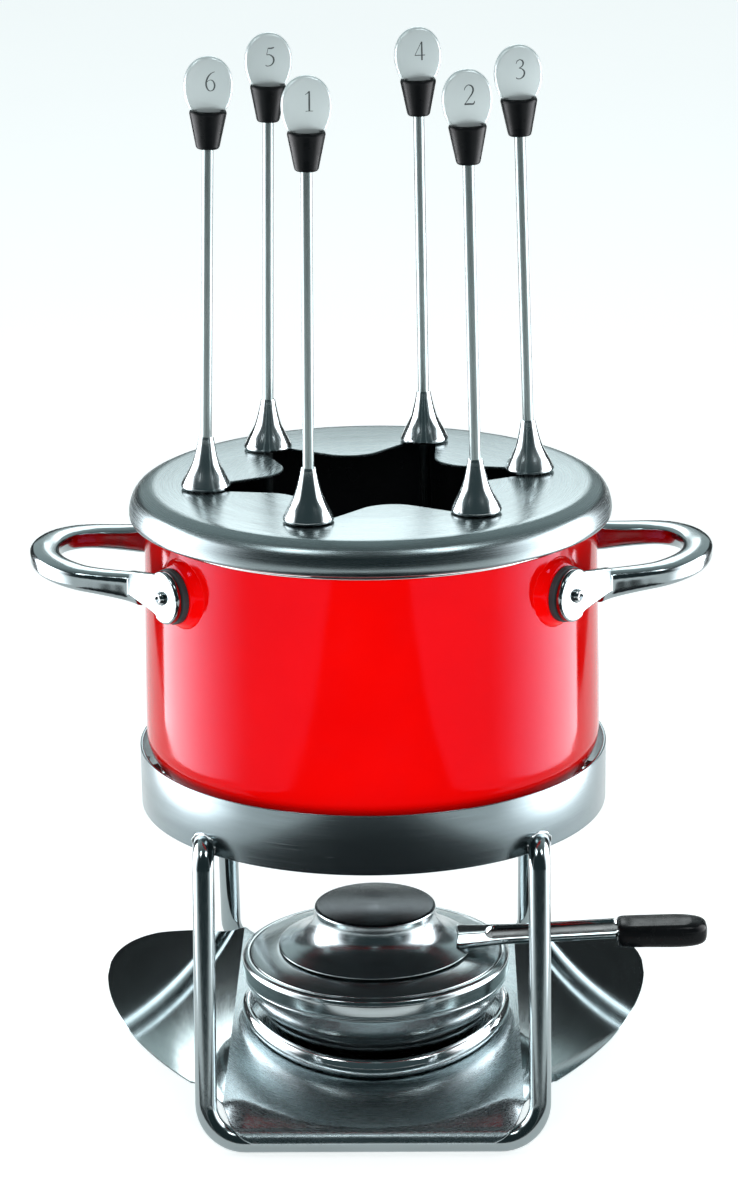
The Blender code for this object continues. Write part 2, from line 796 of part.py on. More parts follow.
# ------------------------------------------------------------ burner, snuffer
def burner(steel, dark, wadding, gauze):
    turned(
        "burner_bowl",
        [
            (0, 0.0114),
            (0.0280, 0.0114),
            (0.0390, 0.0150),
            (0.0445, 0.0178),
            (BOWL_R, 0.0205),
            (BOWL_R, 0.0262),
            (BOWL_R - 0.0014, 0.0262),
            (BOWL_R - 0.0014, 0.0209),
            (0.0434, 0.0190),
            (0.0380, 0.0163),
            (0.0276, 0.0128),
            (0, 0.0128),
        ],
        dark,
        32,
        closed=False,
    )
    r, f = HOUSING_R, HOUSING_FOOT_R
    t = 0.0012
    turned(
        "burner_housing",
        [
            (f - 0.0012, HOUSING_Z0),
            (f - 0.0002, HOUSING_Z0),
            (f + 0.0002, HOUSING_Z0 + 0.0006),
            (r - 0.0014, TIER_Z - 0.0026),
            (r - 0.0004, TIER_Z - 0.0002),
            (r, TIER_Z + 0.0002),
            (r, HOUSING_Z1 - 0.0020),
            (r - 0.0006, HOUSING_Z1 - 0.0006),
            (r - 0.0020, HOUSING_Z1),
            (r - 0.0034, HOUSING_Z1),
            (r - 0.0034, HOUSING_Z1 - t),
            (r - t - 0.0006, HOUSING_Z1 - 0.0032),
            (r - t - 0.0006, TIER_Z),
            (f - 0.0012, HOUSING_Z0 + 0.0010),
        ],
        steel,
        36,
    )
    # sloping top with the round mouth that the snuffer covers
    turned(
        "burner_top_plate",
        [
            (r - 0.0037, HOUSING_Z1 - t),
            (r - 0.0037, HOUSING_Z1 + 0.0001),
            (0.0400, 0.0450),
            (0.0372, 0.0453),
            (0.0358, 0.0446),
            (MOUTH_R + 0.0012, 0.0400),
            (MOUTH_R, 0.0400),
            (MOUTH_R, 0.0388),
            (MOUTH_R + 0.0024, 0.0388),
            (0.0368, 0.0434),
            (0.0380, 0.0440),
        ],
        steel,
        36,
    )
    # fuel chamber, hung inside the housing, with its wadding and gauze
    turned(
        "fuel_chamber",
        [
            (0, 0.0190),
            (0.0352, 0.0190),
            (0.0362, 0.0200),
            (0.0362, 0.0384),
            (0.0350, 0.0384),
            (0.0350, 0.0202),
            (0, 0.0202),
        ],
        steel,
        24,
        closed=False,
    )
    turned(
        "fuel_wadding",
        [(0, 0.0206), (0.0344, 0.0206), (0.0346, 0.0220), (0.0346, 0.0340), (0, 0.0340)],
        wadding,
        24,
        closed=False,
    )
    turned(
        "burner_gauze",
        [(0, 0.0344), (0.0345, 0.0344), (0.0345, 0.0350), (0, 0.0354)],
        gauze,
        24,
        closed=False,
    )


def snuffer(steel, black):
    t = 0.0012
    flare = [
        (CAP_TOP_R, CAP_Z1),
        (0.0243, 0.0619),
        (0.0245, 0.0590),
        (0.0256, 0.0556),
        (0.0281, 0.0524),
        (0.0318, 0.0497),
        (0.0356, 0.0479),
        (0.0382, 0.0468),
        (CAP_R, CAP_Z0 + 0.0004),
        (CAP_R - 0.0004, CAP_Z0),
    ]
    inside = [
        (CAP_R - 0.0013, CAP_Z0),
        (0.0374, 0.0458),
        (0.0350, 0.0469),
        (0.0310, 0.0488),
        (0.0270, 0.0517),
        (0.0244, 0.0552),
        (0.0233, 0.0590),
        (0.0231, CAP_Z1 - t),
        (0, CAP_Z1 - t),
    ]
    turned("snuffer_cap", [(0, CAP_Z1)] + flare + inside, steel, 32, closed=False)

    # shallow pressed channel, wider at its root and tucked into the grip
    stations = [
        (0.0330, 0.0230, 0.0492),
        (0.0430, 0.0196, 0.0498),
        (0.0500, 0.0176, 0.0503),
        (0.0560, ARM_W, 0.0506),
        (GRIP_X0 - 0.0012, ARM_W, 0.0528),
        (GRIP_X0 - GAP, 0.0138, 0.0528),
        (ARM_X1, 0.0138, 0.0529),
    ]
    wall, web = 0.0020, 0.0012
    bm = bmesh.new()
    rings = []
    for x, width, top in stations:
        h = width / 2
        low = top - ARM_H
        sunk = low + web if x > 0.046 else top - 0.0006
        ring = [
            (x, -h + 0.0006, low),
            (x, h - 0.0006, low),
            (x, h, top),
            (x, h - wall, top),
            (x, h - wall, sunk),
            (x, -h + wall, sunk),
            (x, -h + wall, top),
            (x, -h, top),
        ]
        rings.append([bm.verts.new(p) for p in ring])
    skin(bm, rings)
    arm = finish("snuffer_arm", bm, steel, smooth_angle=25)
    cutter = turned(
        "arm_root_cut",
        [
            (0, 0.030),
            (CAP_R + GAP, 0.030),
            (CAP_R + GAP, 0.0462),
            (0.0358 + GAP, 0.0483),
            (0.0320, 0.0500),
            (0.0283, 0.0528),
            (0.0250, 0.0600),
            (0, 0.0600),
        ],
        steel,
        80,
        closed=False,
    )
    boolean(arm, cutter)

    # moulded grip: squarish at the arm, rounded off at its free end
    rows = [
        (GRIP_X0, 0.0140, 0.0082),
        (GRIP_X0 + 0.0008, 0.0160, 0.0096),
        (GRIP_X0 + 0.0030, 0.0168, 0.0102),
        (0.1120, 0.0170, 0.0106),
        (0.1210, 0.0170, 0.0108),
        (0.1265, 0.0158, 0.0104),
        (0.1304, 0.0130, 0.0094),
        (0.1326, 0.0090, 0.0074),
        (GRIP_X1, 0.0042, 0.0042),
    ]
    path, sections = [], []
    for x, w, h in rows:
        path.append(Vector((x, 0, 0.0502 + 0.010 * (x - GRIP_X0))))
        sections.append(ellipse_section(w, h, 14, 0.62))
    grip = sweep("snuffer_grip", path, sections, black)
    socket = slab(
        "grip_socket",
        [(GRIP_X0 - 0.002, -0.0074), (ARM_X1 + GAP, -0.0074)]
        + [(ARM_X1 + GAP, 0.0074), (GRIP_X0 - 0.002, 0.0074)],
        0.0470,
        0.0535,
        black,
    )
    boolean(grip, socket)


# ---------------------------------------------------------------------- build
def main():
    for obj in list(bpy.data.objects):
        bpy.data.objects.remove(obj, do_unlink=True)
    polished = material("polished_steel", (0.74, 0.77, 0.78), 0.10, 1.0)
    satin = material("satin_steel", (0.66, 0.69, 0.70), 0.32, 1.0)
    enamel = material("red_enamel", (0.78, 0.008, 0.004), 0.10, 0.0)
    black = material("black_plastic", (0.012, 0.013, 0.015), 0.38, 0.0)
    rubber = material("grey_gasket", (0.07, 0.075, 0.08), 0.55, 0.0)
    dark = material("burner_bowl_steel", (0.35, 0.37, 0.38), 0.18, 1.0)
    wadding = material("fuel_wadding", (0.80, 0.78, 0.72), 0.95, 0.0)
    gauze = material("burner_gauze", (0.45, 0.46, 0.46), 0.45, 1.0)

    support_ring(satin)
    pot_rests(polished)
    leg_frames(polished)
    drip_tray(satin)
    burner_seat(polished)
    pot(enamel, polished)
    handles(polished, rubber, polished)
    lid(satin)
    for place, number in enumerate(FORK_ORDER):
        fork(number, place, polished, black, satin)
    burner(satin, dark, wadding, gauze)
    snuffer(polished, black)


main()
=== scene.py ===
"""Looks of a fondue set: camera, studio, detailed pieces and procedural materials.

Metres, +Z up, in the frame's own axes. Every detailed piece rides on a body of
the frame and stands for the plain solids it covers.
"""

import math

import bmesh
import bpy
from mathutils import Matrix, Vector


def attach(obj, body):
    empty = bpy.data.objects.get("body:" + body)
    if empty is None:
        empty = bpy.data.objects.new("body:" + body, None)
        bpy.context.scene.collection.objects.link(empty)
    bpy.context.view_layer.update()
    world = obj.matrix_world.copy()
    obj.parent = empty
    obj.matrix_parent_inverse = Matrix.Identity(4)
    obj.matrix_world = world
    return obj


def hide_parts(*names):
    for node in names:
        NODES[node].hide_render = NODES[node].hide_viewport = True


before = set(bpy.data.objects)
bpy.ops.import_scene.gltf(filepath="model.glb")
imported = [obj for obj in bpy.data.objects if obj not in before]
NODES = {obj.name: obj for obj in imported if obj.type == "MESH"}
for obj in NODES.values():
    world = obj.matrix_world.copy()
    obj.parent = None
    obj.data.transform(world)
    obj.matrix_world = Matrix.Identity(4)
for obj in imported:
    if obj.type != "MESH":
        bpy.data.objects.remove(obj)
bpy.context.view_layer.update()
scene = bpy.context.scene


# ------------------------------------------------------------------ materials
class Shader:
    """A principled material with short ways to add procedural detail."""

    def __init__(self, name, colour, rough, metal, **inputs):
        self.mat = bpy.data.materials.new(name)
        self.mat.use_nodes = True
        self.tree = self.mat.node_tree
        self.bsdf = self.tree.nodes["Principled BSDF"]
        self.set("Base Color", (*colour, 1))
        self.set("Roughness", rough)
        self.set("Metallic", metal)
        for key, value in inputs.items():
            self.set(key.replace("_", " "), value)
        self.coord = self.node("ShaderNodeTexCoord").outputs["Object"]
        self.normal = None

    def set(self, key, value):
        self.bsdf.inputs[key].default_value = value

    def node(self, kind, **props):
        made = self.tree.nodes.new(kind)
        for key, value in props.items():
            setattr(made, key, value)
        return made

    def link(self, a, b):
        self.tree.links.new(a, b)

    def math(self, op, a, b=None):
        made = self.node("ShaderNodeMath", operation=op)
        for slot, value in zip(made.inputs, (a, b)):
            if isinstance(value, (int, float)):
                slot.default_value = value
            elif value is not None:
                self.link(value, slot)
        return made.outputs[0]

    def scaled(self, scale, source=None):
        made = self.node("ShaderNodeMapping")
        made.inputs["Scale"].default_value = scale
        self.link(source or self.coord, made.inputs["Vector"])
        return made.outputs[0]

    def noise(self, vector, scale=1.0, detail=3.0, rough=0.6):
        made = self.node("ShaderNodeTexNoise")
        made.inputs["Scale"].default_value = scale
        made.inputs["Detail"].default_value = detail
        made.inputs["Roughness"].default_value = rough
        self.link(vector, made.inputs["Vector"])
        return made.outputs["Fac"]

    def span(self, value, lo, hi, a=0.0, b=1.0):
        made = self.node("ShaderNodeMapRange")
        for slot, v in zip(("From Min", "From Max", "To Min", "To Max"), (a, b, lo, hi)):
            made.inputs[slot].default_value = v
        self.link(value, made.inputs["Value"])
        return made.outputs[0]

    def rough(self, value, lo, hi, a=0.3, b=0.7):
        self.link(self.span(value, lo, hi, a, b), self.bsdf.inputs["Roughness"])

    def tint(self, value, one, two, a=0.35, b=0.65):
        mix = self.node("ShaderNodeMix", data_type="RGBA")
        mix.inputs["A"].default_value = (*one, 1)
        mix.inputs["B"].default_value = (*two, 1)
        self.link(self.span(value, 0, 1, a, b), mix.inputs["Factor"])
        self.link(mix.outputs["Result"], self.bsdf.inputs["Base Color"])
        return mix

    def bump(self, value, strength, distance):
        made = self.node("ShaderNodeBump")
        made.inputs["Strength"].default_value = strength
        made.inputs["Distance"].default_value = distance
        self.link(value, made.inputs["Height"])
        if self.normal is not None:
            self.link(self.normal, made.inputs["Normal"])
        self.normal = made.outputs["Normal"]
        self.link(self.normal, self.bsdf.inputs["Normal"])

    def polar(self, around=900.0, turn=3.0, up=900.0):
        """Coordinates that run with the radius, the angle and the height."""
        split = self.node("ShaderNodeSeparateXYZ")
        self.link(self.coord, split.inputs[0])
        x, y, z = split.outputs
        radius = self.math("SQRT", self.math("ADD", self.math("MULTIPLY", x, x), self.math("MULTIPLY", y, y)))
        angle = self.math("ARCTAN2", y, x)
        join = self.node("ShaderNodeCombineXYZ")
        self.link(self.math("MULTIPLY", radius, around), join.inputs[0])
        self.link(self.math("MULTIPLY", angle, turn), join.inputs[1])
        self.link(self.math("MULTIPLY", z, up), join.inputs[2])
        return join.outputs[0]

    def radial_tangent(self, amount, rotation=0.0):
        made = self.node("ShaderNodeTangent", direction_type="RADIAL", axis="Z")
        self.link(made.outputs[0], self.bsdf.inputs["Tangent"])
        self.set("Anisotropic", amount)
        self.set("Anisotropic Rotation", rotation)


STEEL = (0.40, 0.445, 0.455)


def polished(name, rough=0.085, colour=STEEL):
    """Mirror steel: faint polishing haze, wiping marks and a few fine scratches."""
    s = Shader(name, colour, rough, 1.0)
    haze = s.noise(s.coord, 42.0, 4.0)
    s.rough(haze, rough * 0.7, rough * 1.5)
    marks = s.noise(s.scaled((900, 70, 160)), 1.0, 2.0)
    s.bump(marks, 0.05, 0.00003)
    s.tint(s.noise(s.coord, 11.0, 2.0), [c * 0.95 for c in colour], colour)
    return s.mat


def spun(name, rough, colour, amount, lines=2600.0, depth=0.06):
    """Steel brushed round the axis: fine rings and a highlight drawn to fans."""
    s = Shader(name, colour, rough, 1.0)
    fine = s.noise(s.polar(lines, 2.2, lines), 1.0, 3.0, 0.7)
    s.rough(fine, rough * 0.80, rough * 1.25, 0.25, 0.75)
    s.bump(fine, depth, 0.00004)
    s.tint(s.noise(s.polar(160, 1.2, 160), 1.0, 3.0), [c * 0.90 for c in colour], [min(1, c * 1.04) for c in colour])
    if amount:
        s.radial_tangent(amount)
    return s.mat


def straight(name, rough, colour, stretch, depth=0.05):
    """Steel brushed in one direction; stretch gives the grain's scales."""
    s = Shader(name, colour, rough, 1.0)
    fine = s.noise(s.scaled(stretch), 1.0, 3.0, 0.7)
    s.rough(fine, rough * 0.75, rough * 1.3, 0.25, 0.75)
    s.bump(fine, depth, 0.00004)
    wide = s.noise(s.coord, 16.0, 2.0)
    s.tint(wide, [c * 0.92 for c in colour], colour)
    return s.mat


def enamel_red():
    s = Shader("red_enamel", (0.86, 0.0035, 0.0008), 0.10, 0.0)
    s.set("IOR", 1.21)
    s.set("Specular Tint", (0.90, 0.50, 1.0, 1))
    s.tint(s.noise(s.coord, 22.0, 3.0), (0.90, 0.0008, 0.0002), (0.95, 0.0014, 0.0004))
    s.rough(s.noise(s.coord, 60.0, 3.0), 0.06, 0.12)
    s.bump(s.noise(s.coord, 380.0, 2.0), 0.035, 0.0001)
    s.bump(s.noise(s.coord, 45.0, 1.0), 0.03, 0.0004)
    return s.mat


def enamel_black():
    s = Shader("black_enamel", (0.008, 0.009, 0.010), 0.22, 0.0)
    s.rough(s.noise(s.coord, 70.0, 3.0), 0.14, 0.30)
    specks = s.noise(s.coord, 1600.0, 2.0)
    s.tint(specks, (0.006, 0.007, 0.008), (0.016, 0.018, 0.019), 0.55, 0.8)
    s.bump(s.noise(s.coord, 420.0, 2.0), 0.04, 0.0001)
    return s.mat


def plastic(name="black_plastic", colour=(0.0030, 0.0036, 0.0042), rough=0.30):
    s = Shader(name, colour, rough, 0.0)
    s.rough(s.noise(s.coord, 240.0, 3.0), rough * 0.8, rough * 1.3)
    s.tint(s.noise(s.coord, 50.0, 3.0), colour, [c * 1.7 for c in colour])
    s.set("Specular IOR Level", 0.10)
    grain = s.node("ShaderNodeTexVoronoi")
    grain.inputs["Scale"].default_value = 2400.0
    s.link(s.coord, grain.inputs["Vector"])
    s.bump(grain.outputs["Distance"], 0.012, 0.00002)
    return s.mat


def wadding():
    s = Shader("fuel_wadding", (0.80, 0.78, 0.72), 0.95, 0.0)
    fibres = s.noise(s.scaled((900, 300, 900)), 1.0, 5.0)
    s.tint(fibres, (0.62, 0.60, 0.53), (0.86, 0.84, 0.78))
    s.bump(fibres, 0.8, 0.0006)
    return s.mat


def gauze():
    """Woven wire: two sets of round wires crossing over and under."""
    s = Shader("burner_gauze", (0.45, 0.46, 0.46), 0.40, 1.0)
    split = s.node("ShaderNodeSeparateXYZ")
    s.link(s.coord, split.inputs[0])
    pitch = 2 * math.pi / 0.0011
    wx = s.math("ABSOLUTE", s.math("SINE", s.math("MULTIPLY", split.outputs[0], pitch / 2)))
    wy = s.math("ABSOLUTE", s.math("SINE", s.math("MULTIPLY", split.outputs[1], pitch / 2)))
    wire = s.math("MAXIMUM", wx, wy)
    s.bump(wire, 1.0, 0.0003)
    # the gaps between the wires are painted near black, a painted shade for the holes
    s.tint(wire, (0.03, 0.03, 0.03), (0.55, 0.56, 0.56), 0.55, 0.85)
    s.rough(s.noise(s.coord, 300.0), 0.35, 0.6)
    return s.mat


M_POLISHED = polished("polished_steel", 0.07, (0.55, 0.60, 0.61))
M_SHAFT = straight("shaft_steel", 0.30, (0.24, 0.285, 0.285), (1800, 1800, 60), 0.05)
M_BELL = polished("bell_steel", 0.15, (0.62, 0.67, 0.68))
M_ROD = straight("rod_steel", 0.12, (0.30, 0.345, 0.355), (1500, 1500, 60), 0.04)
M_CAST = polished("cast_steel", 0.13, (0.27, 0.31, 0.32))
M_LID = spun("lid_steel", 0.26, (0.21, 0.25, 0.258), 0.45)
M_RING = spun("ring_steel", 0.22, (0.22, 0.265, 0.28), 0.35)
M_HOUSING = spun("housing_steel", 0.17, (0.42, 0.47, 0.48), 0.35)
M_PLATE = spun("plate_steel", 0.20, (0.40, 0.445, 0.455), 0.55)
# the cap's flat top: the same steel as the flare, painted near black as a painted shade
M_CAP_TOP_PAINTED_SHADE = spun("cap_top_painted_shade", 0.22, (0.028, 0.040, 0.046), 0.50)
M_FLARE = spun("flare_steel", 0.20, (0.38, 0.43, 0.445), 0.50)
M_SEAT = spun("seat_steel", 0.10, (0.84, 0.87, 0.88), 0.30)
M_TRAY = spun("tray_steel", 0.07, (0.42, 0.48, 0.49), 0.0, 2000.0, 0.02)
M_TRAY_BRUSHED = spun("tray_brushed", 0.26, (0.36, 0.42, 0.435), 0.80, 2000.0, 0.06)
M_BOWL = spun("bowl_steel", 0.22, (0.30, 0.33, 0.34), 0.3)
M_PADDLE = straight("paddle_steel", 0.38, (0.60, 0.67, 0.675), (2600, 2600, 120), 0.05)
M_PADDLE.node_tree.nodes["Principled BSDF"].inputs["Metallic"].default_value = 0.45
M_RIM = polished("rim_steel", 0.07, (0.80, 0.83, 0.835))
M_RED = enamel_red()
M_BLACK_ENAMEL = enamel_black()
M_BASE = plastic("pot_base", (0.020, 0.023, 0.025), 0.35)
M_PLASTIC = plastic()
M_GRIP = plastic("grip_plastic", (0.0032, 0.0038, 0.0044), 0.24)
M_GASKET = plastic("grey_gasket", (0.028, 0.031, 0.034), 0.45)
M_INK = plastic("engraved_dark", (0.055, 0.065, 0.068), 0.55)
M_WELD = polished("weld_steel", 0.20, (0.52, 0.55, 0.56))
M_SCREW = polished("screw_steel", 0.12, (0.42, 0.45, 0.46))
M_WADDING = wadding()
M_GAUZE = gauze()


# -------------------------------------------------------------------- shaping
def publish(name, bm, mats, smooth=35.0, recalc=True):
    bmesh.ops.remove_doubles(bm, verts=bm.verts, dist=1e-7)
    if recalc:
        bmesh.ops.recalc_face_normals(bm, faces=bm.faces)
    mesh = bpy.data.meshes.new(name)
    bm.to_mesh(mesh)
    bm.free()
    mesh.shade_smooth()
    if smooth:
        mesh.set_sharp_from_angle(angle=math.radians(smooth))
    for mat in mats if isinstance(mats, (list, tuple)) else [mats]:
        mesh.materials.append(mat)
    obj = bpy.data.objects.new(name, mesh)
    scene.collection.objects.link(obj)
    return obj


def settle(obj):
    """Applies the modifiers, so the object keeps plain geometry."""
    graph = bpy.context.evaluated_depsgraph_get()
    mesh = bpy.data.meshes.new_from_object(obj.evaluated_get(graph))
    obj.modifiers.clear()
    obj.data = mesh
    return obj


def cut(obj, *cutters, operation="DIFFERENCE"):
    for cutter in cutters:
        made = obj.modifiers.new("cut", "BOOLEAN")
        made.operation = operation
        made.object = cutter
        made.solver = "EXACT"
    settle(obj)
    for cutter in cutters:
        bpy.data.objects.remove(cutter, do_unlink=True)
    return obj


def done(obj, body, *nodes, slot=None):
    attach(obj, body)
    if nodes:
        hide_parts(*nodes)
    return obj


def eased(profile, radius, steps=4, closed=True):
    """Rounds every corner of a profile with a short curve."""
    out = []
    count = len(profile)
    for i, b in enumerate(profile):
        a, c = profile[i - 1], profile[(i + 1) % count]
        if not closed and i in (0, count - 1):
            out.append(b)
            continue
        pa, pb, pc = Vector(a), Vector(b), Vector(c)
        one, two = (pa - pb).length, (pc - pb).length
        if one < 1e-9 or two < 1e-9:
            out.append(b)
            continue
        straightness = (pa - pb).normalized().dot((pc - pb).normalized())
        if straightness < -0.995:
            out.append(b)
            continue
        start = pb + (pa - pb) * (min(radius, one * 0.45) / one)
        end = pb + (pc - pb) * (min(radius, two * 0.45) / two)
        for k in range(steps + 1):
            t = k / steps
            p = start * (1 - t) ** 2 + pb * 2 * t * (1 - t) + end * t * t
            out.append((p.x, p.y))
    return out


def spline(points, per=6):
    """Catmull-Rom curve through points of any dimension."""
    out = []
    last = len(points) - 1
    for i in range(last):
        p0, p1 = points[max(i - 1, 0)], points[i]
        p2, p3 = points[i + 1], points[min(i + 2, last)]
        for k in range(per):
            t = k / per
            out.append(tuple(
                0.5 * (2 * b + (c - a) * t + (2 * a - 5 * b + 4 * c - d) * t * t + (3 * b - a - 3 * c + d) * t**3)
                for a, b, c, d in zip(p0, p1, p2, p3)
            ))
    out.append(tuple(points[-1]))
    return out


def turned(name, profile, mats, segments=128, closed=True, pick=None, smooth=35.0, matrix=None):
    bm = bmesh.new()
    rings = []
    for i in range(segments):
        a = 2 * math.pi * i / segments
        rings.append([bm.verts.new((r * math.cos(a), r * math.sin(a), z)) for r, z in profile])
    count = len(profile)
    for i in range(segments):
        one, two = rings[i], rings[(i + 1) % segments]
        for j in range(count if closed else count - 1):
            k = (j + 1) % count
            corners = [one[j], two[j], two[k], one[k]]
            if profile[j][0] == 0:
                corners = [one[j], two[k], one[k]]
            elif profile[k][0] == 0:
                corners = [one[j], two[j], one[k]]
            face = bm.faces.new(corners)
            if pick:
                face.material_index = pick((profile[j][0] + profile[k][0]) / 2, (profile[j][1] + profile[k][1]) / 2)
    if matrix is not None:
        bmesh.ops.transform(bm, matrix=matrix, verts=bm.verts)
    return publish(name, bm, mats, smooth)


def skin(bm, rings, caps=True, loop=True):
    n = len(rings[0])
    for one, two in zip(rings, rings[1:]):
        for j in range(n if loop else n - 1):
            bm.faces.new((one[j], one[(j + 1) % n], two[(j + 1) % n], two[j]))
    if caps:
        bm.faces.new(rings[0][::-1])
        bm.faces.new(rings[-1])


def slab(name, outline, z0, z1, mat, matrix=None, edge=0.0):
    """An outline extruded from z0 to z1, with softened edges."""
    bm = bmesh.new()
    centre = Vector((sum(p[0] for p in outline), sum(p[1] for p in outline))) / len(outline)
    levels = [(z0, 0.0), (z1, 0.0)]
    if edge:
        levels = [(z0, edge), (z0 + edge * 0.3, edge * 0.3), (z0 + edge, 0), (z1 - edge, 0), (z1 - edge * 0.3, edge * 0.3), (z1, edge)]
    rings = []
    for z, inset in levels:
        ring = []
        for x, y in outline:
            d = Vector((x, y)) - centre
            d = d * (1 - inset / max(d.length, 1e-6))
            ring.append(bm.verts.new((centre.x + d.x, centre.y + d.y, z)))
        rings.append(ring)
    skin(bm, rings)
    if matrix is not None:
        bmesh.ops.transform(bm, matrix=matrix, verts=bm.verts)
    return publish(name, bm, mat, 30.0)


def circle(radius, count, cx=0.0, cy=0.0):
    return [(cx + radius * math.cos(2 * math.pi * i / count), cy + radius * math.sin(2 * math.pi * i / count)) for i in range(count)]


def arc(cx, cz, r, a0, a1, steps):
    return [
        (cx + r * math.cos(math.radians(a0 + (a1 - a0) * i / steps)), cz + r * math.sin(math.radians(a0 + (a1 - a0) * i / steps)))
        for i in range(steps + 1)
    ]


def rounded(path, radii, steps):
    out = [path[0]]
    for i in range(1, len(path) - 1):
        a, b, c = path[i - 1], path[i], path[i + 1]
        to_a, to_c = (a - b).normalized(), (c - b).normalized()
        half = to_a.angle(to_c) / 2
        run = radii[i - 1] / math.tan(half)
        centre = b + (to_a + to_c).normalized() * (radii[i - 1] / math.sin(half))
        start, end = b + to_a * run - centre, b + to_c * run - centre
        total = start.angle(end)
        for k in range(steps + 1):
            t = k / steps
            out.append(centre + (start * math.sin((1 - t) * total) + end * math.sin(t * total)) / math.sin(total))
    out.append(path[-1])
    return out


def rod(name, path, radius, mat, sides=32):
    bm = bmesh.new()
    rings = []
    normal = None
    last = len(path) - 1
    for i, point in enumerate(path):
        ahead = (path[min(i + 1, last)] - path[max(i - 1, 0)]).normalized()
        if normal is None:
            normal = ahead.orthogonal()
        normal = (normal - ahead * normal.dot(ahead)).normalized()
        other = ahead.cross(normal)
        rings.append([
            bm.verts.new(point + radius * (normal * math.cos(2 * math.pi * j / sides) + other * math.sin(2 * math.pi * j / sides)))
            for j in range(sides)
        ])
    skin(bm, rings)
    return publish(name, bm, mat)


# ---------------------------------------------------------------------- stand
RING_R, ROD_R, LEG_X = 0.0921, 0.0042, 0.0637
LEG_TOP_Y, LEG_FOOT_Y, LEG_TOP_Z, FOOT_BEND_R = 0.0740, 0.0974, 0.1132, 0.015

inner = RING_R - 0.0012
ring_profile = eased([(inner, 0.1102), (RING_R, 0.1102), (RING_R, 0.1340), (inner, 0.1340)], 0.0004, 4)
done(turned("stand_ring", ring_profile, M_RING, 192), "stand", "support_ring", slot="satin_steel")

slope = (LEG_FOOT_Y - LEG_TOP_Y) / (LEG_TOP_Z - ROD_R)
for name, side in (("front", -1), ("rear", 1)):
    corners = []
    for x in (-LEG_X, LEG_X):
        ends = [
            Vector((x, side * 0.056, LEG_TOP_Z)),
            Vector((x, side * LEG_TOP_Y, LEG_TOP_Z)),
            Vector((x, side * (LEG_TOP_Y + slope * (LEG_TOP_Z - ROD_R)), ROD_R)),
        ]
        corners += ends if x < 0 else ends[::-1]
    path = rounded(corners, [0.009, FOOT_BEND_R, FOOT_BEND_R, 0.009], 14)
    leg = rod(f"{name}_rod", path, ROD_R, M_ROD)
    cut(leg, turned("c", [(0, 0.09), (RING_R + 0.00005, 0.09), (RING_R + 0.00005, 0.15), (0, 0.15)], M_ROD, 160, closed=False))
    leg.data.shade_smooth()
    leg.data.set_sharp_from_angle(angle=math.radians(40))
    done(leg, "stand", f"{name}_leg_frame", slot="polished_steel")
    # a small fillet of weld where each rod butts onto the ring
    for x in (-LEG_X, LEG_X):
        bm = bmesh.new()
        rings = []
        for i in range(40):
            t = 2 * math.pi * i / 40
            wobble = 0.00055 + 0.00012 * math.sin(9 * t) + 0.00006 * math.sin(23 * t + 1)
            px, pz = x + (ROD_R + 0.0001) * math.cos(t), LEG_TOP_Z + (ROD_R + 0.0001) * math.sin(t)
            if pz < 0.1106:
                pz = 0.1106
            py = math.sqrt(RING_R**2 - px * px)
            centre = Vector((px, side * py, pz))
            outward = Vector((math.cos(t), 0, math.sin(t)))
            along = Vector((px, side * py, 0)).normalized()
            rings.append([
                bm.verts.new(centre + wobble * (outward * math.cos(b) + along * math.sin(b)))
                for b in (2 * math.pi * j / 10 for j in range(10))
            ])
        for one, two in zip(rings, rings[1:] + rings[:1]):
            for j in range(10):
                bm.faces.new((one[j], one[(j + 1) % 10], two[(j + 1) % 10], two[j]))
        done(publish(f"{name}_weld_{'left' if x < 0 else 'right'}", bm, M_WELD, 60), "stand")

TRAY_FLOOR, TRAY_CURVE, TRAY_T, TRAY_Y, TAB_X, TRAY_R = 0.0094, 2.20, 0.0006, 0.1024, 0.046, 0.1080


def trough(x):
    return TRAY_FLOOR + TRAY_CURVE * x * x


STATIONS = spline([
    (0.0, TRAY_Y), (TAB_X - 0.004, TRAY_Y), (TAB_X, TRAY_Y), (TAB_X + 0.0045, TRAY_Y - 0.0013),
    (TAB_X + 0.0080, TRAY_Y - 0.0046), (TAB_X + 0.0108, TRAY_Y - 0.0100),
    (LEG_X - 0.0032, 0.0862), (LEG_X + 0.0010, 0.0812), (0.0700, 0.0772),
], 5)


def tray_half(x):
    reach = abs(x)
    for (x0, y0), (x1, y1) in zip(STATIONS, STATIONS[1:]):
        if reach <= x1:
            return y0 + (y1 - y0) * (reach - x0) / max(x1 - x0, 1e-9)
    radius = TRAY_R - 0.13 * max(0.0920 - reach, 0.0)
    return math.sqrt(max(radius**2 - reach**2, 0.0))


def tray_height(x, y):
    reach = abs(x)
    wrap = ROD_R + 0.0003 + TRAY_T + 0.0001
    over = abs(y) - LEG_FOOT_Y
    run = min(max(reach - (LEG_X - FOOT_BEND_R), 0.0), FOOT_BEND_R * 0.9)
    flat = math.sqrt(1 - (run / FOOT_BEND_R) ** 2)
    lift = FOOT_BEND_R * (1 - flat)
    if over > 0:
        rest = math.sqrt(wrap**2 - min(over, wrap * 0.985) ** 2)
    else:
        rest = wrap - 0.45 * over
    rest = ROD_R + lift + rest / flat
    high = trough(x)
    blend = 0.0003
    return (high + rest) / 2 - math.sqrt(((high - rest) / 2) ** 2 + (blend / 2) ** 2)


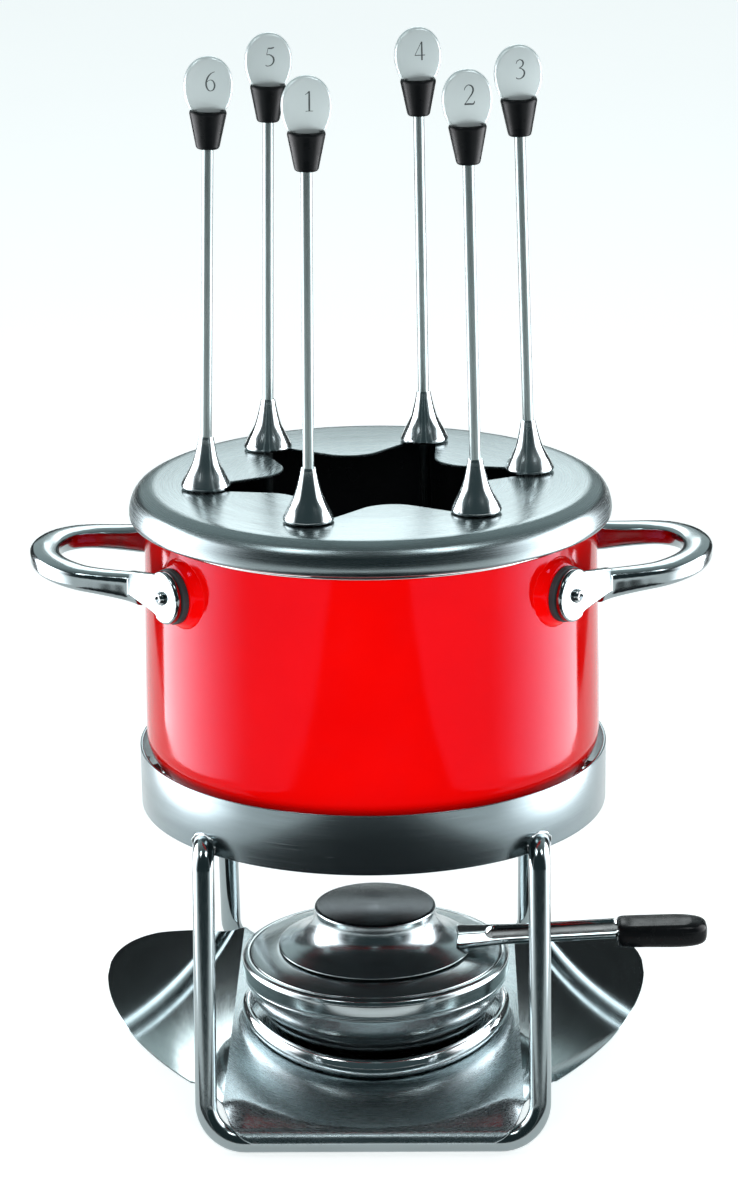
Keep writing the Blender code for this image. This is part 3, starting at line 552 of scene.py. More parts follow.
def tray():
    bm = bmesh.new()
    columns, x = [0.0], 0.0
    while x < 0.1078:
        x += 0.0020 if x < 0.044 or 0.070 < x < 0.100 else 0.0008
        columns.append(min(x, 0.1078))
    columns = [-c for c in columns[:0:-1]] + columns
    half_rows = [i / 30 * 0.90 for i in range(31)] + [0.90 + 0.1 * i / 24 for i in range(1, 25)]
    rows = [-v for v in half_rows[:0:-1]] + half_rows
    top, low = [], []
    for x in columns:
        half = tray_half(x)
        a, b = [], []
        for v in rows:
            y = half * v
            z = tray_height(x, y)
            sx = (tray_height(x + 0.0003, y) - tray_height(x - 0.0003, y)) / 0.0006
            thin = 0.0001 if abs(v) > 0.9999 else 0.0
            a.append(bm.verts.new((x, y, z - thin)))
            b.append(bm.verts.new((x, y, z - TRAY_T * math.sqrt(1 + sx * sx) + thin)))
        top.append(a)
        low.append(b)
    last, wide = len(rows) - 1, len(columns) - 1
    for i in range(wide):
        for j in range(last):
            bm.faces.new((top[i][j], top[i + 1][j], top[i + 1][j + 1], top[i][j + 1]))
            bm.faces.new((low[i][j], low[i][j + 1], low[i + 1][j + 1], low[i + 1][j]))
        for j in (0, last):
            bm.faces.new((top[i][j], low[i][j], low[i + 1][j], top[i + 1][j]))
    for i in (0, wide):
        for j in range(last):
            bm.faces.new((top[i][j], top[i][j + 1], low[i][j + 1], low[i][j]))
    made = publish("tray_sheet", bm, [M_TRAY, M_TRAY_BRUSHED], 50)
    # the middle is brushed round the burner, the wings are polished
    for face in made.data.polygons:
        if abs(face.center.x) < 0.0575:
            face.material_index = 1
    return made


done(tray(), "stand", "drip_tray", slot="satin_steel")

SEAT_R, SEAT_IN = 0.0542, 0.0508
seat = eased([
    (SEAT_IN, 0.0004), (SEAT_R - 0.0020, 0.0004), (SEAT_R - 0.0004, 0.0028), (SEAT_R, 0.0044),
    (SEAT_R - 0.0004, 0.0060), (SEAT_R - 0.0016, 0.0076), (SEAT_IN, 0.0080),
], 0.0012, 5)
bm = bmesh.new()
rings = []
for i in range(180):
    a = 2 * math.pi * i / 180
    rings.append([bm.verts.new((r * math.cos(a), r * math.sin(a), trough(r * math.cos(a)) + h)) for r, h in seat])
for one, two in zip(rings, rings[1:] + rings[:1]):
    for j in range(len(seat)):
        k = (j + 1) % len(seat)
        bm.faces.new((one[j], two[j], two[k], one[k]))
done(publish("seat_collar", bm, M_SEAT, 45), "stand", "burner_seat_ring", slot="polished_steel")

# ------------------------------------------------------------------------ pot
POT_R, POT_FOOT_R, POT_WALL, POT_Z0, POT_Z1, CORNER, BAND_Z0 = 0.0880, 0.0893, 0.0016, 0.1215, 0.2350, 0.0185, 0.2245
LUG_ANGLE, LUG_Z, LUG_R = math.radians(36.5), 0.2088, 0.0102
BOSS_FACE, GASKET_FACE, LUG_FACE = 0.0912, 0.0938, 0.0970
SCREW_R, SCREW_HEAD_R = 0.0016, 0.0027


def lug_frame(sx, sy):
    out = Vector((sx * math.cos(LUG_ANGLE), sy * math.sin(LUG_ANGLE), 0))
    along = Vector((sx * math.sin(LUG_ANGLE), -sy * math.cos(LUG_ANGLE), 0))
    basis = Matrix((along, Vector((0, 0, 1)), out)).transposed().to_4x4()
    return Matrix.Translation((0, 0, LUG_Z)) @ basis


SIDES = ((-1, -1, "front_left"), (-1, 1, "rear_left"), (1, -1, "front_right"), (1, 1, "rear_right"))


def pot():
    inner = POT_R - POT_WALL
    profile = [(0, POT_Z0), (POT_FOOT_R - CORNER, POT_Z0)]
    profile += arc(POT_FOOT_R - CORNER, POT_Z0 + CORNER, CORNER, -90, 0, 20)[1:]
    wall = [(POT_FOOT_R, POT_Z0 + CORNER), (0.0891, 0.160), (0.0886, 0.190), (POT_R, BAND_Z0 - 0.0003)]
    profile += spline(wall, 6)[1:]
    profile += [(POT_R - 0.0004, BAND_Z0 - 0.0002), (POT_R - 0.0004, POT_Z1 - 0.0004), (POT_R - 0.0008, POT_Z1), (inner + 0.0003, POT_Z1), (inner, POT_Z1 - 0.0004)]
    ci = CORNER - POT_WALL
    profile += arc(POT_FOOT_R - POT_WALL - ci, POT_Z0 + 0.003 + ci, ci, 0, -90, 16)
    profile += [(0, POT_Z0 + 0.003)]

    def pick(r, z):
        if z < POT_Z0 + 0.0028 and r < 0.0790 and z < POT_Z0 + 0.0029:
            return 3
        if z > BAND_Z0 + 0.0001 and r > inner + 0.0005:
            return 1
        if r < inner + 0.0001 and z > POT_Z1 - 0.02 or (z > POT_Z0 + 0.0015 and r < POT_FOOT_R - 0.0010 and z < POT_Z1 and not (z < POT_Z0 + CORNER and math.hypot(r - (POT_FOOT_R - CORNER), z - (POT_Z0 + CORNER)) > CORNER - 0.0006 and r > POT_FOOT_R - CORNER)):
            return 2 if z > POT_Z0 + 0.0015 and not (r > POT_R - 0.0003) else 0
        return 0

    body = turned("pot_wall", profile, [M_RED, M_POLISHED, M_BLACK_ENAMEL, M_BASE], 192, closed=False, pick=pick)
    bosses = []
    for sx, sy, place in SIDES:
        bm = bmesh.new()
        rings = []
        steps = spline([(0.0150, 0.0850), (0.0139, 0.0876), (0.0128, 0.0894), (0.0118, 0.0905), (0.0112, BOSS_FACE - 0.0002), (0.0108, BOSS_FACE)], 4)
        for r, d in steps:
            rings.append([bm.verts.new((x, y, d)) for x, y in circle(r, 56)])
        skin(bm, rings)
        bmesh.ops.transform(bm, matrix=lug_frame(sx, sy), verts=bm.verts)
        bosses.append(publish("boss_" + place, bm, M_RED))
    cut(body, *bosses, operation="UNION")
    # the inside of the wall stays black where a boss backs onto it
    for face in body.data.polygons:
        c = face.center
        if math.hypot(c.x, c.y) < inner + 0.0002 and c.z > 0.14 and c.z < POT_Z1 - 0.0005:
            face.material_index = 2
    body.data.shade_smooth()
    body.data.set_sharp_from_angle(angle=math.radians(32))
    return body


done(pot(), "pot", "pot_body", slot="red_enamel")
band = eased([
    (POT_R - 0.0001, BAND_Z0), (POT_R + 0.0008, BAND_Z0), (POT_R + 0.0012, BAND_Z0 + 0.0006),
    (POT_R + 0.0012, POT_Z1 - 0.0030), (POT_R + 0.0004, POT_Z1 - 0.0016), (POT_R - 0.0001, POT_Z1 - 0.0016),
], 0.0003, 3)
done(turned("rim_band", band, M_RIM, 192), "pot", "pot_rim_band", slot="polished_steel")


def lug_outline(radius, tail, count=40):
    points = []
    for i in range(count + 1):
        a = math.radians(62 + 236 * i / count)
        points.append((radius * math.cos(a), radius * math.sin(a)))
    low = [(radius * 0.62, -radius * 0.74), (tail, -radius * 0.42)]
    high = [(tail, radius * 0.50), (radius * 0.62, radius * 0.80)]
    return points + spline([points[-1]] + low, 5)[1:] + spline(high + [points[0]], 5)[:-1]


def arm_points(width, height, out):
    """Section of the cast arm: domed top, upright outer face, bevel below."""
    w, h = width * out, height
    ring = [
        (0.50 * w, 0.20 * h), (0.44 * w, 0.40 * h), (0.26 * w, 0.50 * h), (0.00 * w, 0.53 * h), (-0.26 * w, 0.49 * h),
        (-0.46 * w, 0.36 * h), (-0.50 * w, 0.16 * h), (-0.49 * w, -0.14 * h), (-0.40 * w, -0.38 * h),
        (-0.14 * w, -0.50 * h), (0.18 * w, -0.50 * h), (0.42 * w, -0.36 * h), (0.50 * w, -0.12 * h),
    ]
    smooth = spline(ring[-2:] + ring + ring[:2], 4)[8:-9]
    return smooth if out > 0 else smooth[::-1]


def handle(name, sx):
    half = [
        (0.0862, 0.0374, 0.0084, 0.0112, 0.2056), (0.0905, 0.0338, 0.0094, 0.0110, 0.2062),
        (0.0970, 0.0322, 0.0103, 0.0100, 0.2070), (0.1040, 0.0309, 0.0110, 0.0092, 0.2078),
        (0.1110, 0.0290, 0.0117, 0.0088, 0.2086), (0.1172, 0.0250, 0.0120, 0.0086, 0.2094),
        (0.1226, 0.0185, 0.0118, 0.0084, 0.2100), (0.1261, 0.0098, 0.0115, 0.0082, 0.2104),
    ]
    rows = [(x, -y, w, h, z) for x, y, w, h, z in half] + [(0.1274, 0.0, 0.0114, 0.0082, 0.2106)] + half[::-1]
    rows = spline(rows, 7)
    out = 1 if sx > 0 else -1
    bm = bmesh.new()
    rings = []
    last = len(rows) - 1
    pts = [Vector((sx * r[0], r[1], r[4])) for r in rows]
    for i, (x, y, w, h, z) in enumerate(rows):
        ahead = (pts[min(i + 1, last)] - pts[max(i - 1, 0)]).normalized()
        side = ahead.cross(Vector((0, 0, 1))).normalized()
        top = side.cross(ahead).normalized()
        rings.append([bm.verts.new(pts[i] + side * s + top * t) for s, t in arm_points(w, h, out)])
    skin(bm, rings)
    arm = publish(name, bm, M_CAST)
    plates = [slab("p", lug_outline(LUG_R, 0.0240), GASKET_FACE + 0.0002, LUG_FACE, M_CAST, lug_frame(sx, sy), 0.0006) for sy in (-1, 1)]
    cut(arm, *plates, operation="UNION")
    remesh = arm.modifiers.new("even", "REMESH")
    remesh.mode = "VOXEL"
    remesh.voxel_size = 0.00042
    soften = arm.modifiers.new("soften", "SMOOTH")
    soften.factor = 0.5
    soften.iterations = 9
    settle(arm)
    holes = [slab("h", circle(SCREW_HEAD_R + 0.0003, 32), LUG_FACE - 0.0004, LUG_FACE + 0.004, M_CAST, lug_frame(sx, sy)) for sy in (-1, 1)]
    cut(arm, *holes)
    arm.data.shade_smooth()
    arm.data.set_sharp_from_angle(angle=math.radians(40))
    return arm


done(handle("left_loop", -1), "pot", "left_handle", slot="polished_steel")
done(handle("right_loop", 1), "pot", "right_handle", slot="polished_steel")
for sx, sy, place in SIDES:
    spacer = slab(f"{place}_spacer", lug_outline(LUG_R + 0.0005, 0.0135), BOSS_FACE + 0.0001, GASKET_FACE + 0.0001, M_GASKET, lug_frame(sx, sy), 0.0005)
    done(spacer, "pot", f"{place}_gasket", slot="grey_gasket")
    head = eased([(0, LUG_FACE - 0.0003), (SCREW_HEAD_R, LUG_FACE - 0.0003), (SCREW_HEAD_R, LUG_FACE + 0.0009), (SCREW_HEAD_R * 0.70, LUG_FACE + 0.0019), (0, LUG_FACE + 0.0022)], 0.0005, 4, closed=False)
    bolt = turned(f"{place}_bolt", head, M_SCREW, 48, closed=False, matrix=lug_frame(sx, sy))
    socket = slab("s", circle(0.00145, 6), LUG_FACE + 0.0006, LUG_FACE + 0.004, M_SCREW, lug_frame(sx, sy))
    cut(bolt, socket)
    bolt.data.shade_smooth()
    bolt.data.set_sharp_from_angle(angle=math.radians(30))
    done(bolt, "pot", f"{place}_screw", slot="polished_steel")

# ------------------------------------------------------------------------ lid
LID_R, LID_TOP, LID_SHEET, LID_EDGE_Z = 0.0938, 0.2392, 0.0012, 0.2268
FORK_CIRCLE, FORK_PHASE = 0.0636, 10.2
TONGUE_TIP, TONGUE_R, SLOT_END, SLOT_HALF = 0.0375, 0.0150, 0.0695, 0.0030


def star_outline(grow=0.0):
    points = []
    end, half_w = SLOT_END + grow, SLOT_HALF + grow
    for k in range(6):
        base = math.radians(FORK_PHASE + 60 * k)
        corner = Vector((SLOT_END - 0.0022, half_w))
        centre = Vector((math.cos(math.pi / 6), math.sin(math.pi / 6))) * (TONGUE_TIP + TONGUE_R)
        reach = TONGUE_R - grow
        gap = centre - corner
        lean = math.asin(reach / gap.length)
        heading = math.atan2(gap.y, gap.x) + lean
        touch = corner + Vector((math.cos(heading), math.sin(heading))) * gap.length * math.cos(lean)
        begin = math.atan2(touch.y - centre.y, touch.x - centre.x) % (2 * math.pi)
        middle = math.pi / 6 + math.pi
        half = [Vector((end, 0)), Vector((end - 0.0003, half_w * 0.4)), Vector((end - 0.0009, half_w * 0.75)), corner]
        for i in range(25):
            a = begin + (middle - begin) * i / 24
            half.append(centre + reach * Vector((math.cos(a), math.sin(a))))
        mirror = []
        for p in half[1:-1][::-1]:
            r, a = p.length, 2 * math.pi / 6 - math.atan2(p.y, p.x)
            mirror.append(Vector((r * math.cos(a), r * math.sin(a))))
        for p in half + mirror:
            r, a = p.length, math.atan2(p.y, p.x) + base
            points.append((r * math.cos(a), r * math.sin(a)))
    return points


def lid():
    t, top, edge, r = LID_SHEET, LID_TOP, LID_EDGE_Z, LID_R
    outer = [(r - 0.0108, top), (r - 0.0088, top - 0.00015), (r - 0.0068, top - 0.0006), (r - 0.0036, top - 0.0022), (r - 0.0015, top - 0.0046)]
    outer += [(r - 0.0004, top - 0.0076), (r, top - 0.0102), (r - 0.0002, edge + 0.0006), (r - 0.0008, edge)]
    inner = [(r - 0.0013, edge), (r - 0.0018, edge + 0.0006), (r - t - 0.0001, top - 0.0098), (r - t - 0.0006, top - 0.0076)]
    inner += [(r - 0.0028, top - 0.0050), (r - 0.0047, top - 0.0032), (r - 0.0072, top - 0.0018), (r - 0.0110, top - t)]
    profile = [(0, top)] + spline(outer, 5) + spline(inner, 4) + [(0, top - t)]
    plate = turned("lid_plate", profile, M_LID, 192, closed=False)
    # the cutter widens a little at both faces, which leaves an eased edge
    bm = bmesh.new()
    rings = []
    e = 0.00028
    for z, grow in ((top - t - 0.001, e), (top - t, e), (top - t + e, 0), (top - e, 0), (top, e), (top + 0.001, e)):
        rings.append([bm.verts.new((x, y, z)) for x, y in star_outline(grow)])
    skin(bm, rings)
    cut(plate, publish("star", bm, M_LID))
    plate.data.shade_smooth()
    plate.data.set_sharp_from_angle(angle=math.radians(28))
    return plate


done(lid(), "lid", "fork_rest_lid", slot="satin_steel")

# ---------------------------------------------------------------------- forks
BELL_BASE_Z, SHAFT_R = 0.2397, 0.0021
COLLAR_Z0, COLLAR_Z1, COLLAR_R0, COLLAR_R1 = 0.1312, 0.1463, 0.0045, 0.0071
PADDLE_TOP, PADDLE_W, PADDLE_T, PADDLE_TURN = 0.1660, 0.0184, 0.0034, 12.0
SHAFT_FOOT, TINE_FOOT = -0.064, -0.098
FORK_LEAN, FORK_ORDER = 1.7, (3, 4, 5, 6, 1, 2)

# strokes of the engraved numbers, in a box 0.62 wide and 1 high; each point is
# x, y and the stroke's half width there
DIGITS = {
    1: [[(0.14, 0.83, 0.012), (0.24, 0.88, 0.02), (0.33, 0.97, 0.03)],
        [(0.345, 0.99, 0.040), (0.345, 0.50, 0.045), (0.345, 0.03, 0.042)],
        [(0.16, 0.012, 0.013), (0.345, 0.02, 0.016), (0.53, 0.012, 0.013)]],
    2: [[(0.06, 0.73, 0.014), (0.11, 0.88, 0.020), (0.27, 0.985, 0.020), (0.44, 0.91, 0.038), (0.50, 0.74, 0.044),
         (0.44, 0.55, 0.036), (0.28, 0.33, 0.024), (0.06, 0.04, 0.014)],
        [(0.05, 0.045, 0.040), (0.30, 0.045, 0.042), (0.50, 0.045, 0.036), (0.57, 0.19, 0.012)]],
    3: [[(0.09, 0.79, 0.013), (0.15, 0.92, 0.020), (0.28, 0.985, 0.020), (0.42, 0.92, 0.035), (0.46, 0.79, 0.040),
         (0.40, 0.65, 0.028), (0.23, 0.55, 0.014)],
        [(0.23, 0.56, 0.014), (0.40, 0.50, 0.026), (0.51, 0.34, 0.044), (0.46, 0.14, 0.040), (0.30, 0.02, 0.024),
         (0.14, 0.02, 0.022), (0.07, 0.08, 0.024)]],
    4: [[(0.40, 0.99, 0.020), (0.22, 0.64, 0.015), (0.04, 0.29, 0.016)],
        [(0.03, 0.275, 0.022), (0.30, 0.275, 0.022), (0.58, 0.275, 0.022)],
        [(0.41, 0.98, 0.036), (0.41, 0.50, 0.044), (0.41, 0.01, 0.042)]],
    5: [[(0.50, 0.985, 0.030), (0.36, 0.945, 0.036), (0.19, 0.945, 0.034)],
        [(0.185, 0.95, 0.014), (0.145, 0.76, 0.014), (0.11, 0.60, 0.014)],
        [(0.11, 0.60, 0.018), (0.28, 0.60, 0.026), (0.45, 0.47, 0.042), (0.49, 0.28, 0.044), (0.40, 0.10, 0.032),
         (0.24, 0.02, 0.022), (0.11, 0.02, 0.022), (0.06, 0.07, 0.022)]],
    6: [[(0.53, 0.985, 0.012), (0.36, 0.91, 0.022), (0.20, 0.74, 0.038), (0.10, 0.48, 0.044), (0.11, 0.24, 0.044),
         (0.21, 0.06, 0.032), (0.33, 0.015, 0.020), (0.47, 0.09, 0.036), (0.53, 0.29, 0.044), (0.46, 0.49, 0.034),
         (0.33, 0.57, 0.018), (0.20, 0.53, 0.014), (0.12, 0.44, 0.012)]],
}


def number_mark(number, matrix, height, y):
    """The number's strokes as one thin inlay on the paddle's front face."""
    bm = bmesh.new()
    for stroke in DIGITS[number]:
        line = spline(stroke, 8)
        left, right = [], []
        last = len(line) - 1
        for i, (x, z, w) in enumerate(line):
            a, b = line[max(i - 1, 0)], line[min(i + 1, last)]
            d = Vector((b[0] - a[0], b[1] - a[1])).normalized()
            left.append((x - d.y * w, z + d.x * w))
            right.append((x + d.y * w, z - d.x * w))
        rings = []
        for (lx, lz), (rx, rz) in zip(left, right):
            quad = []
            for px, pz, dy in ((lx, lz, 0.0), (rx, rz, 0.0), (rx, rz, 0.00018), (lx, lz, 0.00018)):
                quad.append(bm.verts.new(((px - 0.31) * height, y - 0.00003 + dy, (pz - 0.5) * height)))
            rings.append(quad)
        skin(bm, rings)
    bmesh.ops.transform(bm, matrix=matrix, verts=bm.verts)
    return publish(f"fork_{number}_number", bm, M_INK, 30)


def fork(number, place):
    angle = math.radians(FORK_PHASE + 60 * place)
    # loose in its slot, a fork tips towards the middle, more the further out it is
    lean = -FORK_LEAN * math.cos(angle)
    base = Matrix.Translation((FORK_CIRCLE * math.cos(angle) - 0.0005, FORK_CIRCLE * math.sin(angle), BELL_BASE_Z))
    base = base @ Matrix.Rotation(math.radians(lean), 4, "Y")
    body = f"fork_{number}"
    stem = turned(
        f"{body}_stem",
        eased([(0, SHAFT_FOOT - 0.004), (SHAFT_R * 0.8, SHAFT_FOOT - 0.004), (SHAFT_R, SHAFT_FOOT), (SHAFT_R, COLLAR_Z0 + 0.0060), (0, COLLAR_Z0 + 0.0060)], 0.0004, 3, closed=False),
        M_SHAFT, 36, closed=False, matrix=base,
    )
    w, b, t = 0.0034, 0.0009, 0.0011
    low, yoke = TINE_FOOT, SHAFT_FOOT - 0.006
    outline = [
        (-b, SHAFT_FOOT + 0.004), (-w, yoke), (-w, low + 0.004), (-w + 0.0006, low), (-w + 0.0017, low + 0.005),
        (-w + 0.0017, yoke - 0.004), (w - 0.0017, yoke - 0.004), (w - 0.0017, low + 0.005), (w - 0.0006, low),
        (w, low + 0.004), (w, yoke), (b, SHAFT_FOOT + 0.004),
    ]
    # corners eased; the tines end in plain points
    outline = eased(outline, 0.0016, 4)
    upright = Matrix.Rotation(angle, 4, "Z") @ Matrix.Rotation(math.pi / 2, 4, "X")
    bm = bmesh.new()
    rings = [[bm.verts.new((x * s, y, z)) for x, y in outline] for z, s in ((-t / 1.5, 0.97), (-t / 2.2, 1.0), (t / 2.2, 1.0), (t / 1.5, 0.97))]
    skin(bm, rings)
    bmesh.ops.transform(bm, matrix=base @ upright, verts=bm.verts)
    cut(stem, publish("tines", bm, M_POLISHED), operation="UNION")
    stem.data.shade_smooth()
    stem.data.set_sharp_from_angle(angle=math.radians(35))
    done(stem, body, f"{body}_shaft", slot="polished_steel")

    bore = SHAFT_R + 0.0001
    flare = spline([(0.0094, 0.0015), (0.0081, 0.0042), (0.0064, 0.0074), (0.0051, 0.0104), (0.0041, 0.0138), (0.0033, 0.0172), (0.0029, 0.0194)], 5)
    bell = [(bore, 0.0), (0.0091, 0.0), (0.0095, 0.0003), (0.0096, 0.0008)] + flare + [(0.0027, 0.0200), (bore, 0.0200)]
    done(turned(f"{body}_skirt", bell, M_BELL, 72, matrix=base), body, f"{body}_bell", slot="polished_steel")

    collar = [
        (0, COLLAR_Z0 + 0.0061), (bore, COLLAR_Z0 + 0.0061), (bore, COLLAR_Z0), (COLLAR_R0 - 0.0006, COLLAR_Z0),
        (COLLAR_R0, COLLAR_Z0 + 0.0008), (COLLAR_R1, COLLAR_Z1 - 0.0014), (COLLAR_R1 - 0.0006, COLLAR_Z1 - 0.0002),
        (COLLAR_R1 - 0.0022, COLLAR_Z1 - 0.0010), (0, COLLAR_Z1 - 0.0030),
    ]
    cone = turned(f"{body}_ferrule", eased(collar, 0.0007, 4, closed=False), M_PLASTIC, 72, closed=False, matrix=base)
    done(cone, body, f"{body}_collar", slot="black_plastic")

    foot, neck, tang = COLLAR_Z1 - 0.0055, COLLAR_Z1 - 0.0007, 0.0046
    outline = [(tang, foot), (tang, neck)]
    steps = 72
    for i in range(steps):
        a = 2 * math.pi * (i + 0.5) / steps - math.pi / 2
        v = math.sin(a)
        z = foot + (PADDLE_TOP - foot) * (0.5 + v / 2)
        if z > neck + 0.0001:
            # the oval runs down into the collar's mouth, inside its rim
            room = 0.0063 + max(0.0, z - COLLAR_Z1) * 3.0
            across = PADDLE_W / 2 * math.cos(a) * (1.0 + 0.13 * v)
            outline.append((max(-room, min(room, across)), z))
    outline += [(-tang, neck), (-tang, foot)]
    middle = (foot + PADDLE_TOP) / 2
    turn = base @ Matrix.Rotation(math.radians(PADDLE_TURN), 4, "Z")
    bm = bmesh.new()
    rings = []
    h = PADDLE_T / 2
    for y, s in ((-h, 0.90), (-h + 0.00006, 0.925), (-h + 0.0003, 0.962), (-h + 0.0007, 0.989), (-h + 0.0011, 1.0), (h - 0.0011, 1.0), (h - 0.0007, 0.989), (h - 0.0003, 0.962), (h - 0.00006, 0.925), (h, 0.90)):
        rings.append([bm.verts.new((x * s, y, middle + (z - middle) * s)) for x, z in outline])
    skin(bm, rings)
    bmesh.ops.transform(bm, matrix=turn, verts=bm.verts)
    disc = publish(f"{body}_disc", bm, M_PADDLE, 40)
    done(disc, body, f"{body}_paddle", slot="satin_steel")
    mark = number_mark(number, turn @ Matrix.Translation((0.0006, 0, middle + 0.0034)), 0.0074, -h)
    done(mark, body)


for place, number in enumerate(FORK_ORDER):
    fork(number, place)

# ------------------------------------------------------------ burner, snuffer
BOWL_R, HOUSING_R, HOUSING_FOOT_R = 0.0463, 0.0540, 0.0482
HOUSING_Z0, TIER_Z, HOUSING_Z1, MOUTH_R = 0.0236, 0.0352, 0.0430, 0.0340
bowl = [
    (0, 0.0114), (0.0280, 0.0114), (0.0390, 0.0150), (0.0445, 0.0178), (BOWL_R, 0.0205), (BOWL_R, 0.0262), (BOWL_R - 0.0014, 0.0262),
    (BOWL_R - 0.0014, 0.0209), (0.0434, 0.0190), (0.0380, 0.0163), (0.0276, 0.0128), (0, 0.0128),
]
done(turned("bowl_shell", eased(bowl, 0.0030, 5, closed=False), M_BOWL, 144, closed=False), "burner", "burner_bowl", slot="burner_bowl_steel")
r, f, t = HOUSING_R, HOUSING_FOOT_R, 0.0012
housing = [
    (f - 0.0012, HOUSING_Z0), (f - 0.0002, HOUSING_Z0), (f + 0.0003, HOUSING_Z0 + 0.0006), (r - 0.0013, TIER_Z - 0.0024),
    (r - 0.0006, TIER_Z - 0.0009), (r - 0.0010, TIER_Z - 0.0001), (r - 0.0001, TIER_Z + 0.0006), (r, HOUSING_Z1 - 0.0020), (r - 0.0006, HOUSING_Z1 - 0.0006),
    (r - 0.0020, HOUSING_Z1), (r - 0.0034, HOUSING_Z1), (r - 0.0034, HOUSING_Z1 - t), (r - t - 0.0006, HOUSING_Z1 - 0.0032),
    (r - t - 0.0006, TIER_Z), (f - 0.0012, HOUSING_Z0 + 0.0010),
]
done(turned("housing_shell", eased(housing, 0.0007, 4), M_HOUSING, 192), "burner", "burner_housing", slot="satin_steel")
plate = [
    (r - 0.0037, HOUSING_Z1 - t), (r - 0.0037, HOUSING_Z1 + 0.0001), (0.0440, 0.0443), (0.0400, 0.0450), (0.0372, 0.0453), (0.0358, 0.0446),
    (MOUTH_R + 0.0012, 0.0400), (MOUTH_R, 0.0400), (MOUTH_R, 0.0388), (MOUTH_R + 0.0024, 0.0388), (0.0368, 0.0434), (0.0380, 0.0440),
]
done(turned("top_sheet", eased(plate, 0.0006, 4), M_PLATE, 192), "burner", "burner_top_plate", slot="satin_steel")

CAP_R, CAP_TOP_R, CAP_Z0, CAP_Z1 = 0.0390, 0.0237, 0.0459, 0.0627
flare = spline([
    (0.0244, 0.0617), (0.0245, 0.0590), (0.0256, 0.0556), (0.0281, 0.0524), (0.0318, 0.0497), (0.0356, 0.0479), (0.0382, 0.0468), (0.03895, CAP_Z0 + 0.0005),
], 6)
inside = spline([
    (0.0378, CAP_Z0), (0.0370, 0.0460), (0.0350, 0.0469), (0.0310, 0.0488), (0.0270, 0.0517), (0.0244, 0.0552), (0.0233, 0.0590), (0.0231, CAP_Z1 - 0.0014),
], 5)
cap_profile = [(0, CAP_Z1), (CAP_TOP_R - 0.0004, CAP_Z1), (CAP_TOP_R, CAP_Z1 - 0.0001), (0.0242, CAP_Z1 - 0.0005)] + flare + [(CAP_R, CAP_Z0 + 0.0002), (CAP_R - 0.0004, CAP_Z0)] + inside + [(0.0225, CAP_Z1 - 0.0012), (0, CAP_Z1 - 0.0012)]
# the flat top takes the near-black copy of the cap steel, a painted shade
cap = turned("cap_shell", cap_profile, [M_FLARE, M_CAP_TOP_PAINTED_SHADE], 192, closed=False, pick=lambda r, z: 1 if z > CAP_Z1 - 0.0004 and r < 0.0241 else 0)
done(cap, "snuffer", "snuffer_cap", slot="polished_steel")

ARM_W, ARM_H, GRIP_X0, GRIP_X1, ARM_X1 = 0.0168, 0.0026, 0.0975, 0.1334, 0.0990


def arm():
    stations = spline([
        (0.0330, 0.0230, 0.0492), (0.0430, 0.0196, 0.0498), (0.0500, 0.0176, 0.0503), (0.0560, ARM_W, 0.0506),
        (0.0760, ARM_W, 0.0517), (GRIP_X0 - 0.0012, ARM_W, 0.0528),
    ], 9)
    stations += [(GRIP_X0 - 0.0003, 0.0138, 0.0528), (ARM_X1, 0.0138, 0.0529)]
    wall, web = 0.0020, 0.0012
    bm = bmesh.new()
    rings = []
    for x, width, top in stations:
        h, low = width / 2, top - ARM_H
        # the pressed groove starts with a round end
        start = min(max((x - 0.0440) / 0.0050, 0.0), 1.0)
        reach = math.sqrt(1 - (1 - start) ** 2)
        inner = (h - wall) * max(reach, 0.02)
        sunk = low + web if start > 0 else top - 0.0004
        half = [(h - 0.0012, low), (h - 0.0003, low + 0.0005), (h, low + 0.0014), (h, top - 0.0006), (h - 0.0003, top - 0.0001), (h - 0.0008, top)]
        half += [(inner + 0.0004, top), (inner + 0.0001, top - 0.0003), (max(inner - 0.0003, 0.00014), sunk + 0.0003), (max(inner - 0.0008, 0.0001), sunk)]
        ring = half + [(-y, z) for y, z in half[::-1]]
        rings.append([bm.verts.new((x, -y, z)) for y, z in ring])
    skin(bm, rings)
    made = publish("arm_channel", bm, [M_POLISHED, M_BLACK_ENAMEL], 30)
    cutter = turned("c", [(0, 0.030), (CAP_R + 0.0001, 0.030), (CAP_R + 0.0001, 0.0462), (0.0359, 0.0482), (0.0320, 0.0499), (0.0283, 0.0527), (0.0250, 0.0600), (0, 0.0600)], M_POLISHED, 160, closed=False)
    cut(made, cutter)
    for face in made.data.polygons:
        c = face.center
        top = 0.0503 + (c.x - 0.050) * 0.0525
        if c.x > 0.0445 and abs(c.y) < 0.0063 and face.normal.z > 0.7 and c.z < top - 0.0007:
            face.material_index = 1
    made.data.shade_smooth()
    made.data.set_sharp_from_angle(angle=math.radians(35))
    return made


done(arm(), "snuffer", "snuffer_arm", slot="polished_steel")


